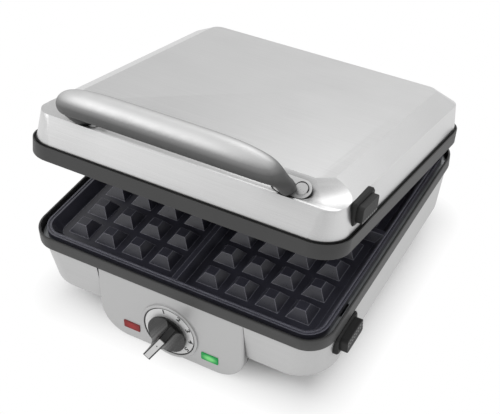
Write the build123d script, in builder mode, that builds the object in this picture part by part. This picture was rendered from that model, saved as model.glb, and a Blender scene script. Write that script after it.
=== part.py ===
"""Four-slice waffle maker: a steel base and a steel lid on a rear hinge, each with a lift-out cast plate."""
import os
from math import atan2, copysign, cos, degrees, hypot, radians, sin

from build123d import *

os.makedirs("parts", exist_ok=True)

# Plates
pocket_pitch = 25.0
pockets_per_slice = 4
divider_extra = 16.5
pyramid_base = 18.7
pyramid_top = 8.4
pyramid_height = 7.5
cavity_depth = 8.5
cavity_margin = 6.3
cavity_draft = 6.2
rim_lip = 3.8
rim_height = 2.4
plate_floor = 3.5
plate_wall = 2.6
cavity_corner = 13.0
divider_base = 10.2
divider_top = 4.4
divider_height = 8.0
rim_groove_width = 1.6
rim_groove_depth = 0.8
skirt_wall = 2.0
skirt_height = 7.0

# Trim rings
plate_gap = 4.2
base_trim_wall = 1.8
lid_trim_wall = 3.4
base_trim_height = 10.4
lid_trim_height = 11.6
base_trim_corner = 21.2
lid_trim_corner = 22.8
lid_rear_corner = 24.0
ledge_width = 6.8
ledge_thickness = 2.0
plate_sink = 0.4
plate_meeting_gap = 0.6
lid_closing_gap = 1.0

# Steel base housing
shell_height = 38.1
shell_setback = 0.8
shell_lean = 2.8
steel_wall = 1.0
shell_bottom_round = 3.0
shell_top_corner = 27.0
shell_bottom_corner = 31.0
leg_length = 22.5
foot_height = 3.0
leg_diameter = 26.0
pad_diameter = 23.0
pad_stud = 8.0
cover_centre_y = 6.0
cover_side_room = 34.4
cover_end_room = 36.4
leg_inset_x = 30.0
leg_inset_y = 32.0
post_inset = 58.6
cover_thickness = 2.0
cover_lap = 7.0
post_diameter = 11.0
leg_wall = 2.5
cover_opening_corner = 12.0
post_screw_length = 10.4
post_screw_head = 3.6
post_screw_head_height = 1.6
cover_screw_radius = 1.6
cover_screw_head = 2.9
cover_screw_head_height = 1.4
cover_screw_length = 4.2
vent_length = 34.0
vent_width = 3.0
vent_pitch = 9.0
vent_count = 6
cord_hole_x = -36.0
cord_hole_height = 16.5
cord_hole_radius = 6.0
notch_half = 22.0
notch_height = 16.5
notch_room = 2.0
trim_edge_round = 0.8
gland_radius = 9.0
gland_flange = 4.0
gland_length = 8.5
gland_bore = 3.6
terminal_x = 0.0
terminal_y = 74.0
terminal_width = 30.0
terminal_depth = 14.0
terminal_height = 9.0
wire_well_radius = 1.8
wire_radius = 1.4
lead_sag = 1.0

# Steel lid
lid_shell_setback = 2.0
lid_shell_foot = 9.2
lid_shell_corner = 22.6
lid_wall_height = 32.2
lid_wall_lean = 4.3
lid_shoulder_corner = 13.4
lid_bevel = 17.5
lid_top_height = 41.0
lid_top_fall = 2.2
lid_top_corner = 8.0
lid_front = 1.6
lid_front_lean = 6.6
lid_front_bevel = 13.9
lid_back_gap = 1.5
lid_back_lean = 2.6
lid_back_bevel = 9.0
lid_trim_setback = 0.7
cove_low_back = 11.0
cove_low_height = 33.6
cove_back = 29.0
cove_turn = 42.5
cove_turn_run = 23.0
cove_turn_low = 33.8
cove_turn_inset = 21.7
cove_turn_back = 34.5
slot_back = 20.5
slot_height = 34.9
slot_slope = 40.0
slot_room = 1.2
slot_reach = 14.0
lid_ring_wall = 1.0
stud_diameter = 9.0

# Handle
bar_radius = 10.9
bar_end_radius = 6.3
bail_inset = 44.7
bail_front = 16.9
bail_top = 65.0
bail_depth = 18.5
bail_slope = 45.0
bail_square = 4.9
bail_round = 2.1
bail_turns = (-80, -65, -50, -35, -20, -5, 5, 20, 35, 50, 65, 80)
bail_sections = 24
neck_radius = 5.8
neck_room = 0.4
lug_inner_inset = 51.0
cap_inset = 36.8
lug_width = 14.0
lug_thickness = 3.0
cap_diameter = 8.9
cap_height = 1.0
cap_room = 0.2
lug_screw_radius = 1.6
lug_screw_length = 3.4
lug_screw_head = 3.2
lug_screw_head_height = 1.6

# Control panel and dial
panel_tilt = 3.1
panel_width = 127.2
panel_bottom = 2.0
panel_corner = 24.0
panel_wall = 2.5
panel_depth = 7.4
panel_edge_round = 2.0
panel_room = 0.2
panel_proud = 1.0
dial_centre_height = 27.2
dial_ring_radius = 22.5
dial_ring_bore = 12.0
dial_ring_thickness = 0.8
dial_bezel_width = 2.4
dial_bezel_height = 1.5
knob_radius = 16.5
knob_foot_radius = 11.5
knob_rim_height = 3.4
knob_clearance = 0.5
knob_disc_face = 5.0
fin_length = 29.0
fin_thickness = 6.6
fin_height = 22.0
fin_angle = 58.0
scoop_radius = 7.0
inlay_width = 4.4
inlay_thickness = 0.7
inlay_end = 0.5
inlay_foot = 6.5
knob_hub = 15.0
dial_hole_radius = 4.0
lamp_room = 0.1
lamp_round = 0.6
holder_wall = 1.5
holder_depth = 4.5
box_half = 38.0
box_wall = 2.0
box_bottom = 3.5
box_depth = 35.4
box_room = 0.2
back_plate = 2.0
thermostat_width = 30.0
thermostat_height = 24.0
thermostat_face = 7.5
thermostat_depth = 16.5
bracket_thickness = 1.5
bracket_width = 44.0
bracket_height = 28.0
bracket_bore = 5.0
boss_spacing = 36.0
panel_boss_radius = 3.4
panel_screw_radius = 1.5
panel_screw_length = 4.2
panel_screw_head = 2.8
panel_screw_head_height = 1.4
shaft_back = -10.0
shaft_radius = 3.0
shaft_clearance = 0.05
lamp_width = 14.7
lamp_height = 7.1
lamp_spacing = 70.0
lamp_drop = 11.7
lamp_proud = 0.6

# Hinge
hinge_behind = 34.7
hinge_drop = 11.0
open_angle = 13.75
hinge_inset = 57.4
fork_reach = 4.6
fork_low_room = 6.5
fork_high_room = 5.6
bracket_screw_inset = 6.0
fork_chin_run = 0.6
fork_chin_drop = 0.8
fork_brow_run = 0.3
fork_brow_rise = 0.95
arm_under_foot = 0.33
arm_under_run = 0.85
arm_under_drop = 0.5
arm_over_run = 0.55
arm_over_rise = 0.8
arm_thickness = 14.0
arm_room = 0.6
cheek_gap = 0.5
pin_radius = 4.0
boss_radius = 9.0
fork_half = 11.0
pin_head = 1.6
bracket_screw_radius = 2.0
bracket_screw_length = 6.0
bracket_screw_head = 3.4
bracket_screw_head_height = 1.8

# Plate release buttons
lower_button_z = 51.8
upper_button_height = 25.0
button_length = 27.0
button_height = 12.6
bezel_length = 34.0
bezel_height = 17.6
bezel_proud = 2.6
slide_clearance = 0.3

stem_height = 9.9
stem_lowered = 0.55
sleeve_wall = 1.4
bezel_chamfer = 1.2
bezel_corner = 3.6
button_corner = 2.6
lower_button_proud = 6.8
upper_button_proud = 4.3
button_head_depth = 9.0
sleeve_room = 3.6
spring_cap = 1.3
lower_latch_back = 39.9
upper_latch_back = 43.5
tab_back = 46.4
hook_finger_room = 0.2
hook_finger_thickness = 2.5
hook_nose_room = 0.4
spring_radius = 2.75
spring_wire = 0.4
spring_pitch = 2.2
spring_hole_room = 0.45
spring_offset_y = -7.5
hook_width = 6.0
hook_top_room = 0.4
hook_nose_height = 1.6
hook_foot_height = 3.0

tab_width = 12.0
tab_drop = 9.4
tab_window_width = 8.0
tab_window_height = 2.8
tab_window_lift = 1.9
tab_room = 1.0
tongue_spacing = 120.0
tongue_width = 14.0
tongue_reach = 1.4
tongue_thickness = 2.4
tongue_lift = 0.6
retainer_wall = 1.2
retainer_setback = 1.2

# Heater and its tray
heater_radius = 3.3
heater_plate_gap = 0.3
heater_inset = 32.6
heater_inner_x = 30.0
heater_dip_y = 36.0
heater_end_x = (-30.0, 30.0)
heater_bend = 9.0
heater_tail = 9.0
clip_rows = (-50.0, 0.0, 50.0)
clip_width = 8.6
clip_length = 9.0
clip_wall = 1.0
collar_radius = 6.0
collar_height = 6.0
tray_depth = 21.6
tray_lean = 5.0
tray_room = 0.2
tray_hole_room = 0.2
post_screw_radius = 2.0
flange_room = 0.7
hook_window_drop = 19.8

# Screw heads
head_round = 0.6
driver_length = 1.2
driver_width = 0.28
driver_depth = 0.5

# Levels and half sizes that follow from the sizes above
shell_bottom_z = foot_height + leg_length
trim_bottom_z = shell_bottom_z + shell_height
trim_top_z = trim_bottom_z + base_trim_height
rim_z = trim_top_z - plate_sink
cavity_z = rim_z - cavity_depth
plate_under_z = cavity_z - plate_floor
skirt_z = rim_z - skirt_height
meeting_z = rim_z + plate_meeting_gap / 2
lid_z = trim_top_z + lid_closing_gap
pyramid_reach = (pockets_per_slice - 1) * pocket_pitch + (pocket_pitch + divider_extra) / 2 + pyramid_base / 2
cavity_floor_half = pyramid_reach + cavity_margin
cavity_rim_half = cavity_floor_half + cavity_draft
plate_half = cavity_rim_half + rim_lip
opening_half = plate_half + plate_gap
base_half = opening_half + base_trim_wall
lid_half = opening_half + lid_trim_wall
ledge_half = opening_half - ledge_width
tray_half = ledge_half - tray_room
tray_flange_half = opening_half - flange_room
tray_floor_z = skirt_z - tray_depth
tray_corner = cavity_corner - (cavity_rim_half - tray_half)
flange_corner = tray_corner + tray_flange_half - tray_half
groove_out = cavity_rim_half + (rim_lip + rim_groove_width) / 2
heater_z = plate_under_z - heater_plate_gap - heater_radius
hook_window_z = skirt_z - hook_window_drop
hook_in = tray_half - 2 * steel_wall
tray_flange_slot = plate_half + tab_room
retainer_back = opening_half - retainer_setback
plate_corner = cavity_corner + rim_lip
cover_width = 2 * (base_half - cover_side_room)
cover_depth = 2 * (base_half - cover_end_room)
leg_spacing_x = cover_width - leg_inset_x
leg_spacing_y = cover_depth - leg_inset_y
post_spacing = 2 * (tray_half - post_inset)
heater_side_x = tray_half - heater_inset
heater_front_y = heater_inset - tray_half
heater_rear_y = tray_half - heater_inset
cord_hole_z = shell_bottom_z + cord_hole_height
notch_top = shell_bottom_z + notch_height
panel_front = base_half + panel_proud
box_back = box_depth - base_half
notch_back = box_back - notch_room
hinge_spacing = 2 * (base_half - hinge_inset)
fork_front = base_half + fork_reach
fork_bottom = shell_bottom_z + fork_low_room
fork_top = trim_bottom_z - fork_high_room
bracket_screw_z = (fork_bottom + bracket_screw_inset, fork_top - bracket_screw_inset)
lid_shell_half = lid_half - lid_shell_setback
lid_shoulder_half = lid_shell_half - lid_wall_lean
lid_top_half = lid_shoulder_half - lid_bevel
lid_trim_back = base_half - lid_trim_setback
lid_back_foot = base_half + lid_trim_back - lid_back_gap
lid_back_wall = lid_back_foot - lid_back_lean
lid_back_top = lid_back_wall - lid_back_bevel
lid_slope = atan2(lid_top_fall, base_half)
cove_turn_x = lid_shoulder_half - cove_turn_inset
bail_half = lid_shell_half - bail_inset
cap_x = lid_shell_half - cap_inset
neck_foot_x = cap_x - cap_diameter / 2 - neck_radius - neck_room
lug_inner_x = lid_shell_half - lug_inner_inset
lower_latch_y = lower_latch_back - base_half
upper_latch_y = upper_latch_back - base_half
tab_y = tab_back - base_half
lower_button_front = base_half + lower_button_proud
upper_button_front = lid_shell_half + upper_button_proud
sleeve_back = opening_half - sleeve_room
spring_hole_end = upper_button_front - spring_cap
hook_finger_out = tray_half - hook_finger_room
hook_finger_in = hook_finger_out - hook_finger_thickness
hook_nose = plate_half - hook_nose_room
hinge_y = base_half + hinge_behind
hinge_z = trim_top_z - hinge_drop
hinge_axis = Axis((0, hinge_y, hinge_z), (1, 0, 0))
wall_angle = degrees(atan2(shell_lean, shell_height))
wall_normal = (0, cos(radians(wall_angle)), -sin(radians(wall_angle)))
tilt = radians(panel_tilt)
panel_plane = Plane(origin=(0, -panel_front, dial_centre_height), x_dir=(1, 0, 0),
                    z_dir=(0, -cos(tilt), sin(tilt)))
panel_top_v = (trim_bottom_z - panel_room - dial_centre_height) / cos(tilt)
panel_bottom_v = (panel_bottom - dial_centre_height) / cos(tilt)
window_length = button_length + 2 * slide_clearance + 2 * sleeve_wall
window_height = button_height + 2 * slide_clearance + 2 * sleeve_wall
upper_button_z = lid_z + upper_button_height
turned_button_z = 2 * meeting_z - upper_button_z
lug_normal = (0, -sin(radians(slot_slope)), cos(radians(slot_slope)))
lid_bevel_fall = steel_wall * hypot(lid_bevel, lid_top_height - lid_wall_height) / lid_bevel
bracket_screw_x = (-hinge_spacing / 2, hinge_spacing / 2)
print("plate half", plate_half, "opening", opening_half, "base half", base_half, "lid half", lid_half)
print("levels", shell_bottom_z, trim_bottom_z, trim_top_z, rim_z, cavity_z, plate_under_z, skirt_z, meeting_z)


def save(piece, name):
    """Label a finished piece and write its file."""
    piece.label = name
    export_step(piece, f"parts/{name}.step")


def open_lid(piece):
    """Swing a piece drawn in the closed lid up to the angle in the photograph."""
    return piece.rotate(hinge_axis, -open_angle)


def rounded_block(half_x, half_y, corner, bottom, top):
    """A block with rounded upright corners, centred on the plates."""
    with BuildPart() as block:
        with BuildSketch(Plane.XY.offset(bottom)):
            RectangleRounded(2 * half_x, 2 * half_y, corner)
        extrude(amount=top - bottom)
    return block.part


def tapered_block(half_low, corner_low, bottom, half_high, corner_high, top):
    """A square block whose sides lean from one rounded outline to another."""
    with BuildPart() as block:
        with BuildSketch(Plane.XY.offset(bottom)):
            RectangleRounded(2 * half_low, 2 * half_low, corner_low)
        with BuildSketch(Plane.XY.offset(top)):
            RectangleRounded(2 * half_high, 2 * half_high, corner_high)
        loft(ruled=True)
    return block.part


def rod(radius, start, length, direction):
    """A round bar from a start point along a direction."""
    with BuildPart() as bar:
        with BuildSketch(Plane(origin=start, z_dir=direction)):
            Circle(radius)
        extrude(amount=length)
    return bar.part


def screw(start, direction, shank_radius, shank_length, head_radius, head_height):
    """A pan-head screw: the head stands on the start point and the shank runs along the direction."""
    with BuildPart() as fastener:
        with BuildSketch(Plane(origin=start, z_dir=direction)):
            Circle(shank_radius)
        extrude(amount=shank_length)
        with BuildSketch(Plane(origin=start, z_dir=direction)):
            Circle(head_radius)
        extrude(amount=-head_height)
        fillet(fastener.faces().sort_by(Axis(start, direction))[0].edges(), head_height * head_round)
        with BuildSketch(Plane(origin=start, z_dir=direction).offset(-head_height)):
            Rectangle(head_radius * driver_length, head_radius * driver_width)
            Rectangle(head_radius * driver_width, head_radius * driver_length)
        extrude(amount=head_height * driver_depth, mode=Mode.SUBTRACT)
    return fastener.part


def corners(spacing_x, spacing_y, centre_y=0.0):
    """Four points on the corners of a rectangle."""
    return [(sx * spacing_x / 2, centre_y + sy * spacing_y / 2) for sx in (-1, 1) for sy in (-1, 1)]


# Waffle plate, the same casting below and above
def keeper_slot(bottom, top, reach_in, reach_out, side_room):
    """The space round the catch tab at the right of a plate."""
    with BuildPart() as slot:
        with BuildSketch(Plane.XY.offset(bottom)):
            with Locations(((reach_in + reach_out) / 2, tab_y)):
                Rectangle(reach_out - reach_in, tab_width + 2 * side_room)
        extrude(amount=top - bottom)
    return slot.part


def waffle_plate():
    """A cast plate, cavity up: four slices of square pockets parted by a cross of ridges."""
    with BuildPart() as pyramid:
        with BuildSketch(Plane.XY.offset(cavity_z)):
            Rectangle(pyramid_base, pyramid_base)
        with BuildSketch(Plane.XY.offset(cavity_z + pyramid_height)):
            Rectangle(pyramid_top, pyramid_top)
        loft(ruled=True)
    with BuildPart() as divider:
        with BuildSketch(Plane.XZ):
            with BuildLine():
                Polyline(
                    (-divider_base / 2, cavity_z), (divider_base / 2, cavity_z),
                    (divider_top / 2, cavity_z + divider_height),
                    (-divider_top / 2, cavity_z + divider_height),
                    close=True,
                )
            make_face()
        extrude(amount=cavity_floor_half + cavity_draft * divider_height / cavity_depth, both=True)
    cavity = tapered_block(
        cavity_floor_half, cavity_corner - cavity_draft / 2, cavity_z,
        cavity_rim_half, cavity_corner, rim_z,
    )
    outside = tapered_block(
        cavity_floor_half + plate_wall, cavity_corner, plate_under_z,
        cavity_rim_half + plate_wall, cavity_corner + plate_wall, rim_z - rim_height,
    )
    lines = [(pocket_pitch + divider_extra) / 2 + pocket_pitch * n for n in range(pockets_per_slice)]
    lines = [-v for v in reversed(lines)] + lines
    with BuildPart() as plate:
        add(outside)
        add(rounded_block(plate_half, plate_half, plate_corner, rim_z - rim_height, rim_z))
        add(rounded_block(plate_half, plate_half, plate_corner, skirt_z, rim_z))
        add(rounded_block(plate_half - skirt_wall, plate_half - skirt_wall, plate_corner - skirt_wall,
                          skirt_z, rim_z - rim_height), mode=Mode.SUBTRACT)
        add(outside)
        add(cavity, mode=Mode.SUBTRACT)
        with Locations([(x, y) for x in lines for y in lines]):
            add(pyramid.part)
        add(divider.part)
        add(divider.part.rotate(Axis.Z, 90))
    return plate.part


def catch_tab():
    """The tab under the plate's right edge that the release hook holds, drawn for the lower plate."""
    with BuildPart() as tab:
        with BuildSketch(Plane.XY.offset(skirt_z - tab_drop)):
            with Locations((plate_half - skirt_wall / 2, tab_y)):
                Rectangle(skirt_wall, tab_width)
        extrude(amount=tab_drop)
        with BuildSketch(Plane.XY.offset(skirt_z - tab_drop + tab_window_lift)):
            with Locations((plate_half - skirt_wall / 2, tab_y)):
                Rectangle(2 * skirt_wall, tab_window_width)
        extrude(amount=tab_window_height, mode=Mode.SUBTRACT)
    return tab.part


def rear_tongues():
    """Two tongues at the plate's rear that slide under the retainers."""
    with BuildPart() as tongues:
        with BuildSketch(Plane.XY.offset(skirt_z + tongue_lift)):
            with Locations(*[(sx * tongue_spacing / 2, plate_half + tongue_reach / 2) for sx in (-1, 1)]):
                Rectangle(tongue_width, tongue_reach)
        extrude(amount=tongue_thickness)
    return tongues.part


def removable_plate():
    """The whole plate: casting, rim groove, catch tab and rear tongues."""
    casting = waffle_plate()
    with BuildPart() as plate:
        add(casting)
        add(catch_tab())
        add(rear_tongues())
        with BuildSketch(Plane.XY.offset(rim_z)):
            RectangleRounded(2 * groove_out, 2 * groove_out, plate_corner - (plate_half - groove_out))
            RectangleRounded(
                2 * (groove_out - rim_groove_width), 2 * (groove_out - rim_groove_width),
                plate_corner - (plate_half - groove_out) - rim_groove_width, mode=Mode.SUBTRACT,
            )
        extrude(amount=-rim_groove_depth, mode=Mode.SUBTRACT)
    return plate.part


# Heater tray, rod and clips, the same below and above
def tray_form(inset):
    """The tray as a solid: upright at the sides and front, its rear wall leaning in under the lid's slope."""
    half = tray_half - inset
    corner = tray_corner - inset
    with BuildSketch(Plane.XY.offset(tray_floor_z + inset)) as floor:
        with Locations((0, -tray_lean / 2)):
            RectangleRounded(2 * half, 2 * half - tray_lean, corner)
    with BuildSketch(Plane.XY.offset(skirt_z)) as brim:
        RectangleRounded(2 * half, 2 * half, corner)
    with BuildPart() as form:
        loft(sections=[floor.sketch.face(), brim.sketch.face()], ruled=True)
    return form.part


def heater_tray():
    """A pressed steel pan that carries the plate on its flange and the heater on its floor."""
    with BuildPart() as tray:
        add(rounded_block(tray_flange_half, tray_flange_half, flange_corner, skirt_z - steel_wall, skirt_z))
        add(tray_form(0.0))
        add(tray_form(steel_wall), mode=Mode.SUBTRACT)
        add(keeper_slot(hook_window_z, skirt_z, hook_in, tray_flange_slot, tab_room), mode=Mode.SUBTRACT)
        with BuildSketch(Plane.XY.offset(tray_floor_z)):
            with Locations(*[(x, heater_rear_y) for x in heater_end_x]):
                Circle(heater_radius + tray_hole_room)
            with Locations(*corners(post_spacing, post_spacing)):
                Circle(post_screw_radius)
        extrude(amount=steel_wall, mode=Mode.SUBTRACT)
    return tray.part


def heater_rod():
    """A tubular heater bent into an M under the plate, its ends turned down through the tray."""
    start, end = heater_end_x
    low_z = tray_floor_z - heater_tail
    with BuildPart() as heater:
        with BuildLine() as route:
            FilletPolyline(
                (start, heater_rear_y, low_z),
                (start, heater_rear_y, heater_z),
                (-heater_side_x, heater_rear_y, heater_z),
                (-heater_side_x, heater_front_y, heater_z),
                (-heater_inner_x, heater_front_y, heater_z),
                (-heater_inner_x, heater_dip_y, heater_z),
                (heater_inner_x, heater_dip_y, heater_z),
                (heater_inner_x, heater_front_y, heater_z),
                (heater_side_x, heater_front_y, heater_z),
                (heater_side_x, heater_rear_y, heater_z),
                (end, heater_rear_y, heater_z),
                (end, heater_rear_y, low_z),
                radius=heater_bend,
            )
        with BuildSketch(Plane(origin=route.line @ 0, z_dir=route.line % 0)):
            Circle(heater_radius)
        sweep()
    return heater.part


def heater_clips():
    """Folded strips that stand on the tray and hold the heater up against the plate."""
    with BuildPart() as clips:
        with BuildSketch(Plane.XY.offset(tray_floor_z + steel_wall)):
            with Locations(*[(sx * heater_side_x, y) for sx in (-1, 1) for y in clip_rows]):
                Rectangle(clip_width, clip_length)
        extrude(amount=heater_z - heater_radius - tray_floor_z - steel_wall)
        with BuildSketch(Plane.XY.offset(heater_z - heater_radius)):
            with Locations(*[(sx * heater_side_x + side * (heater_radius + clip_wall / 2), y)
                             for sx in (-1, 1) for side in (-1, 1) for y in clip_rows]):
                Rectangle(clip_wall, clip_length)
        extrude(amount=heater_radius)
        with BuildSketch(Plane.XY.offset(tray_floor_z + steel_wall)):
            with Locations(*[(sx * heater_side_x, y) for sx in (-1, 1) for y in clip_rows]):
                Rectangle(clip_width - 2 * clip_wall, clip_length)
        extrude(amount=heater_z - heater_radius - tray_floor_z - steel_wall - clip_wall, mode=Mode.SUBTRACT)
    return clips.part


def heater_terminals():
    """Ceramic collars on the heater's ends, clamped in the tray's floor."""
    with BuildPart() as collars:
        with BuildSketch(Plane.XY.offset(tray_floor_z - collar_height)):
            with Locations(*[(x, heater_rear_y) for x in heater_end_x]):
                Circle(collar_radius)
                Circle(heater_radius, mode=Mode.SUBTRACT)
        extrude(amount=collar_height)
    return collars.part


def plate_retainers():
    """Two steel hooks on the tray's rear flange that hold the plate's tongues down."""
    with BuildPart() as hooks:
        with BuildSketch(Plane.XY.offset(skirt_z)):
            with Locations(*[(sx * tongue_spacing / 2, retainer_back - retainer_wall / 2) for sx in (-1, 1)]):
                Rectangle(tongue_width, retainer_wall)
        extrude(amount=tongue_lift + tongue_thickness + slide_clearance + retainer_wall)
        with BuildSketch(Plane.XY.offset(skirt_z + tongue_lift + tongue_thickness + slide_clearance)):
            with Locations(*[(sx * tongue_spacing / 2, (plate_half + slide_clearance + retainer_back) / 2)
                             for sx in (-1, 1)]):
                Rectangle(tongue_width, retainer_back - plate_half - slide_clearance)
        extrude(amount=retainer_wall)
    return hooks.part


def to_lid(piece):
    """The same piece turned over for the closed lid, then swung open."""
    return open_lid(mirror(piece, about=Plane.XY.offset(meeting_z)))


lower_plate = removable_plate()
lower_tray = heater_tray()
lower_heater = heater_rod()
lower_heater_clips = heater_clips()
lower_heater_terminals = heater_terminals()
lower_retainers = plate_retainers()
save(lower_plate, "lower_plate")
save(lower_tray, "lower_heater_tray")
save(lower_heater, "lower_heater")
save(lower_heater_clips, "lower_heater_clips")
save(lower_heater_terminals, "lower_heater_terminals")
save(lower_retainers, "lower_plate_retainers")
save(to_lid(lower_plate), "upper_plate")
save(to_lid(lower_tray), "upper_heater_tray")
save(to_lid(lower_heater), "upper_heater")
save(to_lid(lower_heater_clips), "upper_heater_clips")
save(to_lid(lower_heater_terminals), "upper_heater_terminals")
save(to_lid(lower_retainers), "upper_plate_retainers")


# Base housing, its trim ring, bottom cover and feet
def housing_half(z):
    """Half width of the leaning housing wall at a level."""
    return base_half - shell_setback - shell_lean * (trim_bottom_z - z) / shell_height


def housing_form(inset):
    """The pressed housing as a solid, the whole wall moved in by the inset."""
    bottom = shell_bottom_z + inset
    with BuildPart() as form:
        add(tapered_block(housing_half(bottom) - inset, shell_bottom_corner - inset, bottom,
                          housing_half(trim_bottom_z) - inset, shell_top_corner - inset, trim_bottom_z))
        fillet(form.faces().sort_by(Axis.Z)[0].edges(), shell_bottom_round - inset)
    return form.part


def panel_outline(grow):
    """The bib outline of the control panel, straight above and round below."""
    with BuildSketch() as outline:
        with Locations((0, (panel_top_v + panel_bottom_v) / 2)):
            Rectangle(panel_width, panel_top_v - panel_bottom_v)
        fillet(outline.vertices().group_by(Axis.Y)[0], panel_corner)
        if grow:
            offset(amount=grow, kind=Kind.INTERSECTION)
    return outline.sketch


def panel_form(grow, front, back):
    """A solid of the panel outline between two depths measured out from the panel's face."""
    with BuildPart() as form:
        with BuildSketch(panel_plane.offset(back)):
            add(panel_outline(grow))
        extrude(amount=front - back)
    return form.part


def cover_screw_points():
    """Where the bottom cover is screwed to the housing floor, two on each side."""
    side_x = (cover_width - cover_lap) / 2
    side_y = (cover_depth - cover_lap) / 2
    return ([(sx * side_x, cover_centre_y + sy * post_spacing / 2) for sx in (-1, 1) for sy in (-1, 1)]
            + [(sx * post_spacing / 2, cover_centre_y + sy * side_y) for sx in (-1, 1) for sy in (-1, 1)])


def base_housing():
    """A deep-drawn steel tub, open above, with openings for the cover, panel, latch, cord and brackets."""
    with BuildPart() as shell:
        add(housing_form(0.0))
        add(housing_form(steel_wall), mode=Mode.SUBTRACT)
        with BuildSketch(Plane.XY.offset(shell_bottom_z)):
            with Locations((0, cover_centre_y)):
                RectangleRounded(cover_width - 2 * cover_lap, cover_depth - 2 * cover_lap,
                                 cover_opening_corner)
            with Locations(*cover_screw_points()):
                Circle(cover_screw_radius)
        extrude(amount=steel_wall, mode=Mode.SUBTRACT)
        with BuildSketch(Plane.XY.offset(shell_bottom_z)):
            with Locations((0, notch_back - base_half / 2)):
                Rectangle(2 * notch_half, base_half)
        extrude(amount=notch_top - shell_bottom_z, mode=Mode.SUBTRACT)
        add(panel_form(slide_clearance, panel_wall, -panel_depth - slide_clearance), mode=Mode.SUBTRACT)
        with BuildSketch(Plane.YZ.offset(base_half - shell_lean - 2 * steel_wall)):
            with Locations((lower_latch_y, lower_button_z)):
                Rectangle(window_length, window_height)
        extrude(amount=shell_lean + 2 * steel_wall, mode=Mode.SUBTRACT)
        add(rod(cord_hole_radius, (cord_hole_x, base_half, cord_hole_z), 2 * shell_lean, (0, -1, 0)),
            mode=Mode.SUBTRACT)
        for x in bracket_screw_x:
            for z in bracket_screw_z:
                add(rod(bracket_screw_radius, wall_point(x, z, steel_wall), steel_wall, wall_normal),
                    mode=Mode.SUBTRACT)
    return shell.part


def base_ring():
    """The dark band round the top of the base, with the ledge the tray hangs on."""
    with BuildPart() as ring:
        add(rounded_block(base_half, base_half, base_trim_corner, trim_bottom_z, trim_top_z))
        fillet(ring.faces().sort_by(Axis.Z)[-1].edges(), trim_edge_round)
        add(rounded_block(opening_half, opening_half, base_trim_corner - base_trim_wall,
                          trim_bottom_z + ledge_thickness, trim_top_z), mode=Mode.SUBTRACT)
        add(rounded_block(ledge_half, ledge_half, tray_corner + tray_room, trim_bottom_z,
                          trim_bottom_z + ledge_thickness), mode=Mode.SUBTRACT)
        add(keeper_slot(trim_bottom_z, skirt_z, hook_in, tray_flange_slot, tab_room), mode=Mode.SUBTRACT)
    return ring.part


def underside_cover():
    """The black bottom cover with four hollow legs, four tray posts and rows of vents."""
    bottom = shell_bottom_z - cover_thickness
    legs = corners(leg_spacing_x, leg_spacing_y, cover_centre_y)
    posts = corners(post_spacing, post_spacing)
    vents = [(sx * vent_pitch * (n + 1), cover_centre_y) for sx in (-1, 1) for n in range(vent_count // 2)]
    with BuildPart() as cover:
        with BuildSketch(Plane.XY.offset(bottom)):
            with Locations((0, cover_centre_y)):
                RectangleRounded(cover_width, cover_depth, cover_opening_corner + cover_lap)
        extrude(amount=cover_thickness)
        with BuildSketch(Plane.XY.offset(foot_height)):
            with Locations(*legs):
                Circle(leg_diameter / 2)
        extrude(amount=bottom - foot_height)
        with BuildSketch(Plane.XY.offset(foot_height + leg_wall)):
            with Locations(*legs):
                Circle(leg_diameter / 2 - leg_wall)
        extrude(amount=leg_length, mode=Mode.SUBTRACT)
        with BuildSketch(Plane.XY.offset(foot_height)):
            with Locations(*legs):
                Circle(pad_stud / 2)
        extrude(amount=leg_wall, mode=Mode.SUBTRACT)
        with BuildSketch(Plane.XY.offset(shell_bottom_z)):
            with Locations(*posts):
                Circle(post_diameter / 2)
        extrude(amount=tray_floor_z - shell_bottom_z)
        with BuildSketch(Plane.XY.offset(tray_floor_z)):
            with Locations(*posts):
                Circle(post_screw_radius)
        extrude(amount=steel_wall - post_screw_length, mode=Mode.SUBTRACT)
        with BuildSketch(Plane.XY.offset(bottom)):
            with Locations(*cover_screw_points()):
                Circle(cover_screw_radius)
            with Locations(*vents):
                Rectangle(vent_width, vent_length)
        extrude(amount=cover_thickness, mode=Mode.SUBTRACT)
    return cover.part


def rubber_feet():
    """Four rubber pads, each with a stud pressed into its leg."""
    with BuildPart() as pads:
        with BuildSketch():
            with Locations(*corners(leg_spacing_x, leg_spacing_y, cover_centre_y)):
                Circle(pad_diameter / 2)
        extrude(amount=foot_height)
        with BuildSketch(Plane.XY.offset(foot_height)):
            with Locations(*corners(leg_spacing_x, leg_spacing_y, cover_centre_y)):
                Circle(pad_stud / 2)
        extrude(amount=2 * leg_wall)
    return pads.part


def tray_fixings():
    """Four screws through the tray floor into the posts."""
    with BuildPart() as screws:
        for x, y in corners(post_spacing, post_spacing):
            add(screw((x, y, tray_floor_z + steel_wall), (0, 0, -1), post_screw_radius, post_screw_length,
                      post_screw_head, post_screw_head_height))
    return screws.part


def cover_fixings():
    """Eight screws that hold the bottom cover to the housing floor."""
    with BuildPart() as screws:
        for x, y in cover_screw_points():
            add(screw((x, y, shell_bottom_z - cover_thickness), (0, 0, 1), cover_screw_radius,
                      cover_screw_length, cover_screw_head, cover_screw_head_height))
    return screws.part


def cord_inlet():
    """A moulded gland where the supply cord would enter the housing, with its bore."""
    start = (cord_hole_x, housing_half(cord_hole_z - gland_radius) + gland_flange, cord_hole_z)
    with BuildPart() as gland:
        add(rod(gland_radius, start, gland_flange + shell_lean, (0, -1, 0)))
        add(housing_form(0.0), mode=Mode.SUBTRACT)
        add(rod(cord_hole_radius, start, gland_length, (0, -1, 0)))
        add(rod(gland_bore, start, gland_length, (0, -1, 0)), mode=Mode.SUBTRACT)
    return gland.part


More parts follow.
